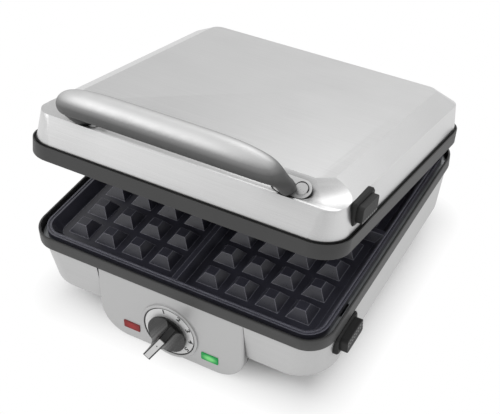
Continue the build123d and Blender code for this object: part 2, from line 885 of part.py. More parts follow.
def mains_terminal():
    """The terminal block on the bottom cover, with a well for each wire."""
    with BuildPart() as block:
        with BuildSketch(Plane.XY.offset(shell_bottom_z)):
            with Locations((terminal_x, terminal_y)):
                Rectangle(terminal_width, terminal_depth)
        extrude(amount=terminal_height)
        with BuildSketch(Plane.XY.offset(shell_bottom_z + terminal_height)):
            with Locations(*[(terminal_x + n * terminal_width / 3, terminal_y) for n in (-1, 0, 1)]):
                Circle(wire_well_radius)
        extrude(amount=-terminal_height / 2, mode=Mode.SUBTRACT)
    return block.part


def mains_leads():
    """Two insulated leads from the heater's ends to the terminal block."""
    top = shell_bottom_z + terminal_height / 2
    with BuildPart() as leads:
        for side, end in zip((-1, 1), heater_end_x):
            with BuildLine() as route:
                Spline(
                    (end, heater_rear_y, tray_floor_z - heater_tail),
                    (terminal_x + side * terminal_width / 3, terminal_y, top),
                    tangents=[(0, 0, -1), (0, 0, -1)],
                    tangent_scalars=(lead_sag, lead_sag),
                )
            with BuildSketch(Plane(origin=route.line @ 0, z_dir=route.line % 0)):
                Circle(wire_radius)
            sweep(path=route.line)
    return leads.part


# Rear hinge
def bracket_pair():
    """Two steel forks on the housing's rear wall that carry the hinge pins."""
    with BuildPart() as forks:
        with BuildSketch(Plane.YZ.offset(hinge_spacing / 2 - fork_half)):
            Polygon(
                (base_half - shell_lean - steel_wall, fork_bottom), (fork_front, fork_bottom),
                (hinge_y + boss_radius * fork_chin_run, hinge_z - boss_radius * fork_chin_drop),
                (hinge_y - boss_radius * fork_brow_run, hinge_z + boss_radius * fork_brow_rise),
                (fork_front, fork_top), (base_half - shell_lean - steel_wall, fork_top),
                align=None,
            )
            with Locations((hinge_y, hinge_z)):
                Circle(boss_radius)
        extrude(amount=2 * fork_half)
        with BuildSketch(Plane.YZ.offset(hinge_spacing / 2 - arm_thickness / 2 - cheek_gap)):
            with Locations((fork_front + base_half / 2, hinge_z)):
                Rectangle(base_half, base_half)
        extrude(amount=arm_thickness + 2 * cheek_gap, mode=Mode.SUBTRACT)
        with BuildSketch(Plane.YZ.offset(hinge_spacing / 2 - fork_half)):
            with Locations((hinge_y, hinge_z)):
                Circle(pin_radius)
        extrude(amount=2 * fork_half, mode=Mode.SUBTRACT)
        add(housing_form(0.0), mode=Mode.SUBTRACT)
        for z in bracket_screw_z:
            add(rod(bracket_screw_radius, wall_point(hinge_spacing / 2, z, steel_wall), bracket_screw_length,
                    wall_normal), mode=Mode.SUBTRACT)
        mirror(about=Plane.YZ)
    return forks.part


def hinge_pin_pair():
    """Two pins with a flat head at the outer end."""
    with BuildPart() as pins:
        add(rod(pin_radius, (hinge_spacing / 2 - fork_half - pin_head, hinge_y, hinge_z),
                2 * fork_half + pin_head, (1, 0, 0)))
        add(rod(pin_radius + pin_head, (hinge_spacing / 2 + fork_half, hinge_y, hinge_z), pin_head,
                (1, 0, 0)))
        mirror(about=Plane.YZ)
    return pins.part


def bracket_fixings():
    """Four screws from inside the rear wall into the forks."""
    with BuildPart() as screws:
        for x in bracket_screw_x:
            for z in bracket_screw_z:
                add(screw(wall_point(x, z, steel_wall), wall_normal, bracket_screw_radius,
                          bracket_screw_length, bracket_screw_head, bracket_screw_head_height))
    return screws.part


def wall_point(x, z, depth):
    """A point in the rear housing wall, at a depth in from its outer face."""
    return (x, housing_half(z) - depth / cos(radians(wall_angle)), z)


save(base_housing(), "base_shell")
save(base_ring(), "base_trim")
save(underside_cover(), "bottom_cover")
save(rubber_feet(), "foot_pads")
save(tray_fixings(), "lower_tray_screws")
save(to_lid(tray_fixings()), "upper_tray_screws")
save(cover_fixings(), "cover_screws")
save(cord_inlet(), "cord_gland")
save(mains_terminal(), "terminal_block")
save(mains_leads(), "lead_wires")
save(bracket_pair(), "hinge_brackets")
save(hinge_pin_pair(), "hinge_pins")
save(bracket_fixings(), "bracket_screws")


# Control panel, lamps and dial
def lamp_points():
    """The two lamp windows on the panel face."""
    return [(sx * lamp_spacing / 2, -lamp_drop) for sx in (-1, 1)]


def panel_moulding():
    """The control panel: an open-backed moulding let into the housing's front."""
    with BuildPart() as panel:
        add(panel_form(0.0, 0.0, -panel_depth))
        front = panel.faces().filter_by(lambda f: f.normal_at().dot(panel_plane.z_dir) > cos(tilt))
        fillet(front.edges(), panel_edge_round)
        add(panel_form(-panel_wall, -panel_wall, -panel_depth), mode=Mode.SUBTRACT)
        with BuildSketch(panel_plane.offset(-panel_wall)):
            with Locations(*[(sx * boss_spacing / 2, 0) for sx in (-1, 1)]):
                Circle(panel_boss_radius)
        extrude(amount=panel_wall + bracket_thickness - thermostat_face)
        with BuildSketch(panel_plane.offset(-thermostat_face)):
            with Locations(*[(sx * boss_spacing / 2, 0) for sx in (-1, 1)]):
                Circle(panel_screw_radius)
        extrude(amount=panel_screw_length, mode=Mode.SUBTRACT)
        with BuildSketch(panel_plane):
            Circle(dial_hole_radius)
            with Locations(*lamp_points()):
                Rectangle(lamp_width, lamp_height)
        extrude(amount=-panel_wall, mode=Mode.SUBTRACT)
    return panel.part


def panel_back():
    """The closed back of the panel with a box under the housing for the thermostat."""
    with BuildPart() as back:
        add(panel_form(0.0, -panel_depth, -panel_depth - back_plate))
        with BuildSketch(Plane.XY.offset(box_bottom)):
            with Locations((0, (box_back - panel_front) / 2)):
                Rectangle(2 * box_half, panel_front + box_back)
        extrude(amount=shell_bottom_z - box_room - box_bottom)
        with BuildSketch(Plane.XY.offset(box_bottom + box_wall)):
            with Locations((0, (box_back - box_wall - panel_front) / 2)):
                Rectangle(2 * (box_half - box_wall), panel_front + box_back - box_wall)
        extrude(amount=base_half, mode=Mode.SUBTRACT)
        add(panel_form(2 * panel_depth, panel_depth, -panel_depth), mode=Mode.SUBTRACT)
        with BuildSketch(Plane.XY.offset(shell_bottom_z - box_room)):
            Rectangle(2 * panel_width, 4 * base_half)
        extrude(amount=base_half, mode=Mode.SUBTRACT)
    return back.part


def dial_face():
    """The satin dial ring round the knob, left plain."""
    with BuildPart() as ring:
        with BuildSketch(panel_plane):
            Circle(dial_ring_radius)
            Circle(dial_ring_bore, mode=Mode.SUBTRACT)
        extrude(amount=dial_ring_thickness)
    return ring.part


def dial_rim():
    """The raised dark rim round the dial ring."""
    with BuildPart() as rim:
        with BuildSketch(panel_plane):
            Circle(dial_ring_radius + dial_bezel_width)
            Circle(dial_ring_radius, mode=Mode.SUBTRACT)
        extrude(amount=dial_bezel_height)
        fillet(rim.edges().group_by(Axis(panel_plane.origin, panel_plane.z_dir))[-1], dial_bezel_height / 3)
    return rim.part


def lamp_lens(side):
    """One rectangular indicator lens, pressed into its window."""
    with BuildPart() as lens:
        with BuildSketch(panel_plane.offset(-panel_wall)):
            with Locations((side * lamp_spacing / 2, -lamp_drop)):
                RectangleRounded(lamp_width - 2 * lamp_room, lamp_height - 2 * lamp_room, lamp_round)
        extrude(amount=panel_wall + lamp_proud)
    return lens.part


def lamp_boxes():
    """Open boxes behind the lenses for the lamps."""
    with BuildPart() as boxes:
        with BuildSketch(panel_plane.offset(-panel_wall)):
            with Locations(*lamp_points()):
                Rectangle(lamp_width + 2 * holder_wall, lamp_height + 2 * holder_wall)
        extrude(amount=-holder_depth)
        with BuildSketch(panel_plane.offset(-panel_wall)):
            with Locations(*lamp_points()):
                Rectangle(lamp_width, lamp_height)
        extrude(amount=holder_wall - holder_depth, mode=Mode.SUBTRACT)
    return boxes.part


def thermostat_body():
    """The thermostat's case, bored for the knob's shaft."""
    with BuildPart() as case:
        with BuildSketch(panel_plane.offset(-thermostat_face)):
            Rectangle(thermostat_width, thermostat_height)
        extrude(amount=-thermostat_depth)
        with BuildSketch(panel_plane.offset(-thermostat_face)):
            Circle(shaft_radius + shaft_clearance)
        extrude(amount=shaft_back + thermostat_face - shaft_clearance, mode=Mode.SUBTRACT)
    return case.part


def thermostat_plate():
    """The steel plate that holds the thermostat against two bosses of the panel."""
    with BuildPart() as plate:
        with BuildSketch(panel_plane.offset(-thermostat_face)):
            Rectangle(bracket_width, bracket_height)
            Circle(bracket_bore, mode=Mode.SUBTRACT)
            with Locations(*[(sx * boss_spacing / 2, 0) for sx in (-1, 1)]):
                Circle(panel_screw_radius, mode=Mode.SUBTRACT)
        extrude(amount=bracket_thickness)
    return plate.part


def thermostat_fixings():
    """Two screws that clamp the plate to the panel's bosses."""
    normal = tuple(panel_plane.z_dir)
    with BuildPart() as screws:
        for side in (-1, 1):
            place = panel_plane.from_local_coords((side * boss_spacing / 2, 0, -thermostat_face))
            add(screw(tuple(place), normal, panel_screw_radius, panel_screw_length,
                      panel_screw_head, panel_screw_head_height))
    return screws.part


def knob_shaft():
    """The shaft that joins the knob to the thermostat."""
    with BuildPart() as shaft:
        with BuildSketch(panel_plane.offset(shaft_back)):
            Circle(shaft_radius)
        extrude(amount=knob_hub - shaft_back)
    return shaft.part


def fin_block(length, thickness, low, high, shift=0.0):
    """A block that stands on the dial along the pointer's direction, moved along it by the shift."""
    angle = radians(fin_angle)
    with BuildPart() as block:
        with BuildSketch(panel_plane.offset(low)):
            with Locations((shift * cos(angle), shift * sin(angle))):
                Rectangle(length, thickness, rotation=fin_angle)
        extrude(amount=high - low)
    return block.part


def pointer_strip():
    """The bright strip let into the fin: along its outer face and down the end that points."""
    end = (fin_length - inlay_thickness) / 2
    with BuildPart() as strip:
        add(fin_block(fin_length / 2 - inlay_end + end, inlay_width, fin_height - inlay_thickness, fin_height,
                      shift=(end + inlay_end - fin_length / 2) / 2 + inlay_thickness / 4))
        add(fin_block(inlay_thickness, inlay_width, inlay_foot, fin_height, shift=end))
    return strip.part


def dial_knob():
    """A round knob with a straight grip fin and a hollow scooped beside it on each side."""
    along = (panel_plane.x_dir * cos(radians(fin_angle)) + panel_plane.y_dir * sin(radians(fin_angle)))
    across = panel_plane.z_dir.cross(along)
    centre = panel_plane.origin + panel_plane.z_dir * (knob_disc_face + scoop_radius)
    with BuildPart() as knob:
        with BuildSketch(panel_plane.offset(dial_ring_thickness + knob_clearance)):
            Circle(knob_foot_radius)
        with BuildSketch(panel_plane.offset(knob_rim_height)):
            Circle(knob_radius)
        loft()
        with BuildSketch(panel_plane.offset(knob_rim_height)):
            Circle(knob_radius)
        extrude(amount=knob_disc_face - knob_rim_height)
        add(fin_block(fin_length, fin_thickness + 2 * scoop_radius, knob_disc_face,
                      knob_disc_face + scoop_radius))
        for side in (-1, 1):
            start = centre + across * (side * (fin_thickness / 2 + scoop_radius)) - along * knob_radius
            add(rod(scoop_radius, tuple(start), 2 * knob_radius, tuple(along)), mode=Mode.SUBTRACT)
        add(fin_block(fin_length, fin_thickness, knob_disc_face, fin_height))
        add(pointer_strip(), mode=Mode.SUBTRACT)
        with BuildSketch(panel_plane):
            Circle(shaft_radius)
        extrude(amount=knob_hub, mode=Mode.SUBTRACT)
        with BuildSketch(panel_plane):
            Circle(knob_radius)
        extrude(amount=fin_height, mode=Mode.INTERSECT)
    return knob.part


save(panel_moulding(), "control_panel")
save(panel_back(), "control_box")
save(dial_face(), "dial_ring")
save(dial_rim(), "dial_rim")
save(lamp_lens(-1), "heating_lamp")
save(lamp_lens(1), "ready_lamp")
save(lamp_boxes(), "lamp_holders")
save(thermostat_body(), "thermostat")
save(thermostat_plate(), "thermostat_bracket")
save(thermostat_fixings(), "thermostat_screws")
save(knob_shaft(), "thermostat_shaft")
save(dial_knob(), "knob")
save(pointer_strip(), "knob_inlay")


# Release buttons, drawn for the lower plate; the upper one is turned over with the lid
def button_block(centre_y, centre_z, grow, back, front):
    """A block with the button's outline between two x positions."""
    with BuildPart() as block:
        with BuildSketch(Plane.YZ.offset(back)):
            with Locations((centre_y, centre_z)):
                RectangleRounded(button_length + 2 * grow, button_height + 2 * grow, button_corner + grow)
        extrude(amount=front - back)
    return block.part


def release_button(centre_y, centre_z, stem_z, front):
    """The push button with its guided stem and a blind hole for the spring."""
    head_back = front - button_head_depth
    with BuildPart() as button:
        add(button_block(centre_y, centre_z, 0.0, head_back, front))
        fillet(button.faces().sort_by(Axis.X)[-1].edges(), bezel_chamfer / 2)
        with BuildSketch(Plane.YZ.offset(sleeve_back)):
            with Locations((centre_y, stem_z)):
                Rectangle(button_length - button_corner, stem_height)
        extrude(amount=head_back - sleeve_back)
        with BuildSketch(Plane.YZ.offset(sleeve_back)):
            with Locations((centre_y + spring_offset_y, stem_z)):
                Circle(spring_radius + spring_wire + spring_hole_room)
        extrude(amount=spring_hole_end - sleeve_back, mode=Mode.SUBTRACT)
    return button.part


def release_hook(centre_z):
    """The catch on the button: a foot through the tray wall, a finger and a nose in the tab's window."""
    top = plate_under_z - hook_top_room
    with BuildPart() as hook:
        with BuildSketch(Plane.XZ.offset(hook_width / 2 - tab_y)):
            foot_z = max(centre_z - hook_foot_height / 2, hook_window_z + hook_top_room)
            Polygon(
                (hook_finger_in, foot_z), (sleeve_back, foot_z),
                (sleeve_back, foot_z + hook_foot_height), (hook_finger_out, foot_z + hook_foot_height),
                (hook_finger_out, top - hook_nose_height), (hook_nose, top - hook_nose_height),
                (hook_nose, top - hook_nose_height / 2), (hook_finger_out, top), (hook_finger_in, top),
                align=None,
            )
        extrude(amount=-hook_width)
    return hook.part


def release_spring(centre_y, stem_z):
    """The compression spring between the tray wall and the button's hole."""
    start = tray_half + spring_wire
    length = spring_hole_end - spring_wire - start
    with BuildPart() as spring:
        with BuildLine() as coil:
            Helix(pitch=spring_pitch, height=length, radius=spring_radius,
                  center=(start, centre_y + spring_offset_y, stem_z), direction=(1, 0, 0))
        with BuildSketch(Plane(origin=coil.line @ 0, z_dir=coil.line % 0)):
            Circle(spring_wire)
        sweep(path=coil.line, is_frenet=True)
    return spring.part


def latch_frame(centre_y, centre_z, bezel_front, wall):
    """The black frame round a button, with a sleeve through the wall; wall is the steel it sits on."""
    with BuildPart() as frame:
        with BuildSketch(Plane.YZ.offset(sleeve_back)):
            with Locations((centre_y, centre_z)):
                RectangleRounded(bezel_length, bezel_height, bezel_corner)
        extrude(amount=bezel_front - sleeve_back)
        chamfer(frame.faces().sort_by(Axis.X)[-1].edges(), bezel_chamfer)
        add(wall, mode=Mode.SUBTRACT)
        with BuildSketch(Plane.YZ.offset(sleeve_back)):
            with Locations((centre_y, centre_z)):
                Rectangle(window_length - 2 * lamp_room, window_height - 2 * lamp_room)
        extrude(amount=bezel_front - bezel_chamfer - sleeve_back)
        add(button_block(centre_y, centre_z, slide_clearance, sleeve_back, bezel_front), mode=Mode.SUBTRACT)
    return frame.part


lower_stem_z = lower_button_z - stem_lowered
upper_stem_z = turned_button_z + stem_lowered
lower_button = release_button(lower_latch_y, lower_button_z, lower_stem_z, lower_button_front)
upper_button = release_button(upper_latch_y, turned_button_z, upper_stem_z, upper_button_front)
save(lower_button, "lower_release_button")
save(release_hook(lower_button_z), "lower_latch_hook")
save(release_spring(lower_latch_y, lower_stem_z), "lower_latch_spring")
lower_bezel_front = housing_half(lower_button_z) + bezel_proud
save(latch_frame(lower_latch_y, lower_button_z, lower_bezel_front, housing_form(0.0)), "lower_latch_bezel")
save(to_lid(upper_button), "upper_release_button")
save(to_lid(release_hook(turned_button_z)), "upper_latch_hook")
save(to_lid(release_spring(upper_latch_y, upper_stem_z)), "upper_latch_spring")


# Steel lid, its trim ring and the finger cove
def lid_top_at(back):
    """The height of the sloping top at a distance back from the lid's front edge."""
    return lid_top_height - lid_top_fall * (back / base_half - 1)


def lid_wall_at(height):
    """Half width of the leaning lid wall at a height above the lid's edge."""
    return lid_shell_half - lid_wall_lean * (height - lid_shell_foot) / (lid_wall_height - lid_shell_foot)


def lid_outline(half_x, front, back, corner, height, slope):
    """One rounded outline of the lid at a height above the lid's edge, falling to the rear by the slope."""
    level = Plane(origin=(0, 0, lid_z + height), x_dir=(1, 0, 0), z_dir=(0, sin(slope), cos(slope)))
    with BuildSketch(level) as outline:
        with Locations((0, (front + back) / 2 - base_half)):
            RectangleRounded(2 * half_x, back - front, corner)
    return outline.sketch.face()


def lid_form(inset, fall):
    """The pressed lid as a solid: walls that lean in below, a shallow bevel and a sloping flat top above."""
    shoulder_height = lid_wall_height + inset * (lid_top_height - lid_wall_height) / lid_bevel - fall
    shoulder_front = lid_front + lid_front_lean
    foot = lid_outline(lid_shell_half - inset, lid_front + inset, lid_back_foot - inset,
                       lid_shell_corner - inset, lid_shell_foot, 0)
    shoulder = lid_outline(lid_shoulder_half - inset, shoulder_front + inset, lid_back_wall - inset,
                           lid_shoulder_corner - inset, shoulder_height, lid_slope)
    crown = lid_outline(lid_top_half, shoulder_front + lid_front_bevel, lid_back_top, lid_top_corner,
                        lid_top_height - inset, lid_slope)
    with BuildPart() as form:
        loft(sections=[foot, shoulder], ruled=True)
        loft(sections=[shoulder, crown], ruled=True)
    return form.part


def lug_point(side, out):
    """The centre of a handle screw on the floor of its slot, moved out along the slot's axis."""
    slope = radians(slot_slope)
    return (side * cap_x, slot_back - out * sin(slope) - base_half, lid_z + slot_height + out * cos(slope))


def lug_block(side, half_width, low, high):
    """A plate with round ends across the slot's axis, between two heights above the slot's floor."""
    reach = cap_x - lug_inner_x
    with BuildPart() as block:
        with BuildSketch(Plane(origin=lug_point(side, low), x_dir=(1, 0, 0), z_dir=lug_normal)):
            with Locations((-side * reach / 2, 0)):
                SlotCenterToCenter(reach, 2 * half_width)
        extrude(amount=high - low)
    return block.part


def cove_form(grow):
    """The finger cove along the lid's front top edge and round its corners, as the solid it is cut with."""
    rise = lid_top_at(cove_back) - cove_low_height
    run = cove_back - cove_low_back
    radius = (run ** 2 + rise ** 2) / (2 * rise)
    turn_rise = lid_top_at(cove_turn_back) - cove_turn_low
    turn_radius = (cove_turn_run ** 2 + turn_rise ** 2) / (2 * turn_rise)
    turn = radians(cove_turn)
    turn_y = cove_turn_back - cove_turn_run * cos(turn) - base_half
    turn_z = lid_z + cove_turn_low + turn_radius
    with BuildPart() as cove:
        add(rod(radius + grow, (-base_half, cove_low_back - base_half, lid_z + cove_low_height + radius),
                2 * base_half, (1, 0, 0)))
        for side in (-1, 1):
            along = (side * cos(turn), sin(turn), 0)
            middle_x = side * (cove_turn_x + cove_turn_run * sin(turn))
            start = (middle_x - along[0] * cove_turn_x, turn_y - along[1] * cove_turn_x, turn_z)
            add(rod(turn_radius + grow, start, 2 * cove_turn_x, along))
            add(lug_block(side, lug_width / 2 + slot_room + grow, -grow, slot_reach))
    return cove.part


def lid_pressing():
    """The steel lid with its cove, and the window for the upper release button."""
    hollow = lid_form(steel_wall, lid_bevel_fall)
    with BuildPart() as inside:
        add(hollow)
        add(cove_form(steel_wall), mode=Mode.SUBTRACT)
    with BuildPart() as shell:
        add(lid_form(0.0, 0.0))
        add(inside.part, mode=Mode.SUBTRACT)
        add(cove_form(0.0), mode=Mode.SUBTRACT)
        with BuildSketch(Plane.YZ.offset(lid_shoulder_half - 2 * steel_wall)):
            with Locations((upper_latch_y, upper_button_z)):
                Rectangle(window_length, window_height)
        extrude(amount=lid_wall_lean + 2 * steel_wall, mode=Mode.SUBTRACT)
        for side in (-1, 1):
            add(rod(lug_screw_radius, lug_point(side, -steel_wall), steel_wall, lug_normal),
                mode=Mode.SUBTRACT)
    return shell.part


def lid_trim_outline(inset):
    """The lid ring's outline, tighter round the front corners than the rear ones."""
    with BuildSketch() as outline:
        with Locations((0, (lid_trim_back - base_half) / 2)):
            Rectangle(2 * (lid_half - inset), lid_trim_back + base_half - 2 * inset)
        fillet(outline.vertices().group_by(Axis.Y)[0], lid_trim_corner - inset)
        fillet(outline.vertices().group_by(Axis.Y)[-1], lid_rear_corner - inset)
    return outline.sketch


def lid_ring():
    """The dark band round the lid's edge, with a ledge for the upper tray and a thin outer lip."""
    with BuildPart() as ring:
        with BuildSketch(Plane.XY.offset(lid_z)):
            add(lid_trim_outline(0.0))
        extrude(amount=lid_trim_height)
        fillet(ring.faces().sort_by(Axis.Z)[0].edges(), trim_edge_round)
        with BuildSketch(Plane.XY.offset(lid_z + lid_shell_foot)):
            add(lid_trim_outline(lid_ring_wall))
        extrude(amount=lid_trim_height, mode=Mode.SUBTRACT)
        add(rounded_block(opening_half, opening_half, base_trim_corner - base_trim_wall, lid_z,
                          lid_z + lid_shell_foot - ledge_thickness), mode=Mode.SUBTRACT)
        add(rounded_block(ledge_half, ledge_half, tray_corner + tray_room, lid_z, lid_z + lid_trim_height),
            mode=Mode.SUBTRACT)
        add(mirror(keeper_slot(trim_bottom_z, skirt_z, hook_in, tray_flange_slot, tab_room),
                   about=Plane.XY.offset(meeting_z)), mode=Mode.SUBTRACT)
    return ring.part


# Handle
def bail_point(turn):
    """A point on the arched bar's centre line, from one end over the middle to the other."""
    across = sin(radians(turn))
    drop = bail_depth * (1 - cos(radians(turn)) ** (2 / bail_round))
    return (bail_half * copysign(abs(across) ** (2 / bail_square), across),
            drop * cos(radians(bail_slope)) - base_half - bail_front,
            lid_z + bail_top - drop * sin(radians(bail_slope)))


def bail_line():
    """The centre line of the whole handle, up from one lug, along the bar and down to the other lug."""
    with BuildLine() as centre:
        Spline((-neck_foot_x, *lug_point(-1, 0)[1:]), *[bail_point(turn) for turn in bail_turns],
               (neck_foot_x, *lug_point(1, 0)[1:]))
    return centre.line


def grip():
    """The bail handle: an arched round bar, two thinner necks and two lugs screwed into their slots."""
    centre = bail_line()
    sections = []
    for step in range(bail_sections + 1):
        spot = centre @ (step / bail_sections)
        drop = (lid_z + bail_top - spot.Z) / sin(radians(bail_slope))
        radius = max(bar_radius - (bar_radius - bar_end_radius) * drop / bail_depth, neck_radius)
        across = Plane(origin=spot, x_dir=lug_normal, z_dir=centre % (step / bail_sections))
        with BuildSketch(across) as section:
            Circle(radius)
        sections.append(section.sketch.face())
    with BuildPart() as handle:
        loft(sections=sections)
        for side in (-1, 1):
            add(lug_block(side, lug_width / 2, 0, lug_thickness))
        add(lid_form(0.0, 0.0) - cove_form(0.0), mode=Mode.SUBTRACT)
        for side in (-1, 1):
            add(rod(lug_screw_radius, lug_point(side, -steel_wall), lug_screw_length, lug_normal),
                mode=Mode.SUBTRACT)
            add(rod(cap_diameter / 2 + cap_room, lug_point(side, lug_thickness), cap_height + cap_room,
                    lug_normal), mode=Mode.SUBTRACT)
    return handle.part


def grip_caps():
    """Two round covers on the lugs."""
    with BuildPart() as caps:
        for side in (-1, 1):
            add(rod(cap_diameter / 2, lug_point(side, lug_thickness), cap_height, lug_normal))
    return caps.part


def grip_fixings():
    """Two screws from inside the lid into the lugs."""
    with BuildPart() as screws:
        for side in (-1, 1):
            add(screw(lug_point(side, -steel_wall), lug_normal, lug_screw_radius, lug_screw_length,
                      lug_screw_head, lug_screw_head_height))
    return screws.part


def lid_studs():
    """Four posts from the lid's top down to the upper tray."""
    bottom = 2 * meeting_z - tray_floor_z
    with BuildPart() as studs:
        with BuildSketch(Plane.XY.offset(bottom)):
            with Locations(*corners(post_spacing, post_spacing)):
                Circle(stud_diameter / 2)
        extrude(amount=lid_z + lid_top_height + lid_top_fall - bottom)
        add(lid_form(steel_wall, lid_bevel_fall), mode=Mode.INTERSECT)
        with BuildSketch(Plane.XY.offset(bottom)):
            with Locations(*corners(post_spacing, post_spacing)):
                Circle(post_screw_radius)
        extrude(amount=post_screw_length - steel_wall, mode=Mode.SUBTRACT)
    return studs.part


def arm_pair():
    """Two moulded arms from the lid ring's rear face to the hinge pins."""
    foot = lid_trim_back
    with BuildPart() as arms:
        with BuildSketch(Plane.YZ.offset(hinge_spacing / 2 - arm_thickness / 2)):
            Polygon(
                (foot, lid_z + arm_room), (foot + boss_radius * arm_under_foot, lid_z + arm_room),
                (hinge_y - boss_radius * arm_under_run, hinge_z - boss_radius * arm_under_drop),
                (hinge_y + boss_radius * arm_over_run, hinge_z + boss_radius * arm_over_rise),
                (foot + boss_radius, lid_z + lid_trim_height), (foot, lid_z + lid_trim_height),
                align=None,
            )
            with Locations((hinge_y, hinge_z)):
                Circle(boss_radius)
        extrude(amount=arm_thickness)
        with BuildSketch(Plane.YZ.offset(hinge_spacing / 2 - arm_thickness / 2)):
            with Locations((hinge_y, hinge_z)):
                Circle(pin_radius + shaft_clearance)
        extrude(amount=arm_thickness, mode=Mode.SUBTRACT)
        mirror(about=Plane.YZ)
    return arms.part


save(open_lid(lid_pressing()), "lid_shell")
save(open_lid(lid_ring()), "lid_trim")
save(open_lid(grip()), "handle")
save(open_lid(grip_caps()), "handle_caps")
save(open_lid(grip_fixings()), "handle_screws")
save(open_lid(lid_studs()), "lid_studs")
save(open_lid(arm_pair()), "hinge_arms")
upper_bezel_front = lid_wall_at(upper_button_height) + bezel_proud
save(open_lid(latch_frame(upper_latch_y, upper_button_z, upper_bezel_front, lid_form(0.0, 0.0))),
     "upper_latch_bezel")
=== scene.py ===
# %% [markdown]
# # A square waffle maker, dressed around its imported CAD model
# The CAD model holds every shape and every joint. This script gives the pieces their finishes, adds
# the small forms that only the eye needs, and sets the studio that the product photograph was taken
# in. Lengths are in metres, and the origin lies on the worktop, under the middle of the lower plate.

# %% Load the frame
from math import atan2, cos, hypot, pi, radians, sin

import bmesh
import bpy
from mathutils import Matrix, Vector


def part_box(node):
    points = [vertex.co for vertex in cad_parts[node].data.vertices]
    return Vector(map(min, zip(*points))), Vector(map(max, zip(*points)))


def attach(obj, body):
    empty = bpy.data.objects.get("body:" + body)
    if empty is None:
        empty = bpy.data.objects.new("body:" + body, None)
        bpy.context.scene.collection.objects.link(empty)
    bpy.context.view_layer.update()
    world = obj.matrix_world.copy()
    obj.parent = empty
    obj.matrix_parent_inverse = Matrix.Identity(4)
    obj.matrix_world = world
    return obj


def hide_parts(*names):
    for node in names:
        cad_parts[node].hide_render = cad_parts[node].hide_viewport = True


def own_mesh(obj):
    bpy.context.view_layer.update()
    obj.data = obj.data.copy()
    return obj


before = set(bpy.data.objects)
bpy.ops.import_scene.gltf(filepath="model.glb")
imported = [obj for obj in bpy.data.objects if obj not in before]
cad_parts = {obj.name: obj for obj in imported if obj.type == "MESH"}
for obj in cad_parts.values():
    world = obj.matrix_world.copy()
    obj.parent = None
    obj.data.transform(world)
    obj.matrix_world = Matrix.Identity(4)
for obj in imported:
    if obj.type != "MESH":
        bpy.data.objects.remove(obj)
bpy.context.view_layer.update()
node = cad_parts

# %% [markdown]
# ## Helpers for every finish
# Colours are read off as sRGB hex values, and Blender's sockets want linear light, so one function
# turns one into the other. Most of the rest add a shader node, set what is constant, link what is a
# socket and hand back the socket that comes out, so that a finish reads as what is layered on what.

# %% Colour and node helpers
MM = 0.001
SRGB_KNEE, SRGB_SLOPE, SRGB_OFFSET, SRGB_POWER = 0.04045, 12.92, 0.055, 2.4
NOISE_LOW, NOISE_HIGH = 0.3, 0.7


def linear(hex_colour):
    """The linear RGBA of an sRGB hex colour."""
    parts = [int(hex_colour[i:i + 2], 16) / 255 for i in (1, 3, 5)]
    return (*[part / SRGB_SLOPE if part <= SRGB_KNEE
              else ((part + SRGB_OFFSET) / (1 + SRGB_OFFSET)) ** SRGB_POWER for part in parts], 1.0)


def feed(tree, target, **inputs):
    """Set a node's inputs by name, or by number as in _0: a socket is linked, anything else is set."""
    for name, value in inputs.items():
        key = int(name[1:]) if name[1:].isdigit() else name.replace("_", " ")
        if isinstance(value, bpy.types.NodeSocket):
            tree.links.new(value, target.inputs[key])
        else:
            target.inputs[key].default_value = value


def add_node(tree, kind, props=None, **inputs):
    """Add one shader node; props are its settings, and inputs go to feed."""
    made = tree.nodes.new(kind)
    for name, value in (props or {}).items():
        setattr(made, name, value)
    feed(tree, made, **inputs)
    return made


def numbered(values):
    """Input names by number for values that are given in order."""
    return {"_" + str(at): value for at, value in enumerate(values)}


def maths(tree, operation, *values):
    """The result of a sum on numbers."""
    made = add_node(tree, "ShaderNodeMath", {"operation": operation}, **numbered(values))
    return made.outputs["Value"]


def vectors(tree, operation, *values):
    """The result of a sum on vectors: a number for a length or a dot product, and else a vector."""
    made = add_node(tree, "ShaderNodeVectorMath", {"operation": operation}, **numbered(values))
    return made.outputs["Value" if operation in ("LENGTH", "DOT_PRODUCT") else "Vector"]


def span(tree, value, low, high, at_low, at_high, interpolation="LINEAR"):
    """A value carried from one range to another and held at its ends."""
    return add_node(tree, "ShaderNodeMapRange", {"interpolation_type": interpolation}, Value=value,
                    From_Min=low, From_Max=high, To_Min=at_low, To_Max=at_high).outputs["Result"]


def noise(tree, place, size, detail):
    """Even noise whose lumps are about as large as the size."""
    made = add_node(tree, "ShaderNodeTexNoise", Vector=place, Scale=1 / size, Detail=detail)
    return made.outputs["Fac"]


def by_noise(tree, grain, low, high):
    """A value that wanders between two limits with the noise."""
    return span(tree, grain, NOISE_LOW, NOISE_HIGH, low, high)


def relief(tree, height, strength, distance):
    """The normal of a surface raised by a height."""
    return add_node(tree, "ShaderNodeBump", Height=height, Strength=strength,
                    Distance=distance).outputs["Normal"]


def mix(tree, factor, low, high):
    """One colour turning into another with a factor; each is a hex colour or a socket."""
    first, second = [linear(end) if isinstance(end, str) else end for end in (low, high)]
    return add_node(tree, "ShaderNodeMix", {"data_type": "RGBA"}, Factor=factor, A=first,
                    B=second).outputs["Result"]


def colour_ramp(tree, factor, stops):
    """Several colours along a factor, as pairs of a position and a hex colour in rising order."""
    made = add_node(tree, "ShaderNodeValToRGB", Fac=factor)
    elements = made.color_ramp.elements
    for element, (position, hex_colour) in ((elements[0], stops[0]), (elements[1], stops[-1])):
        element.position = position
        element.color = linear(hex_colour)
    for position, hex_colour in stops[1:-1]:
        elements.new(position).color = linear(hex_colour)
    return made.outputs["Color"]


def open_finish(material):
    """A material's tree, its surface shader and a socket with the place on the object."""
    tree = material.node_tree
    return tree, tree.nodes["Principled BSDF"], add_node(tree, "ShaderNodeTexCoord").outputs["Object"]


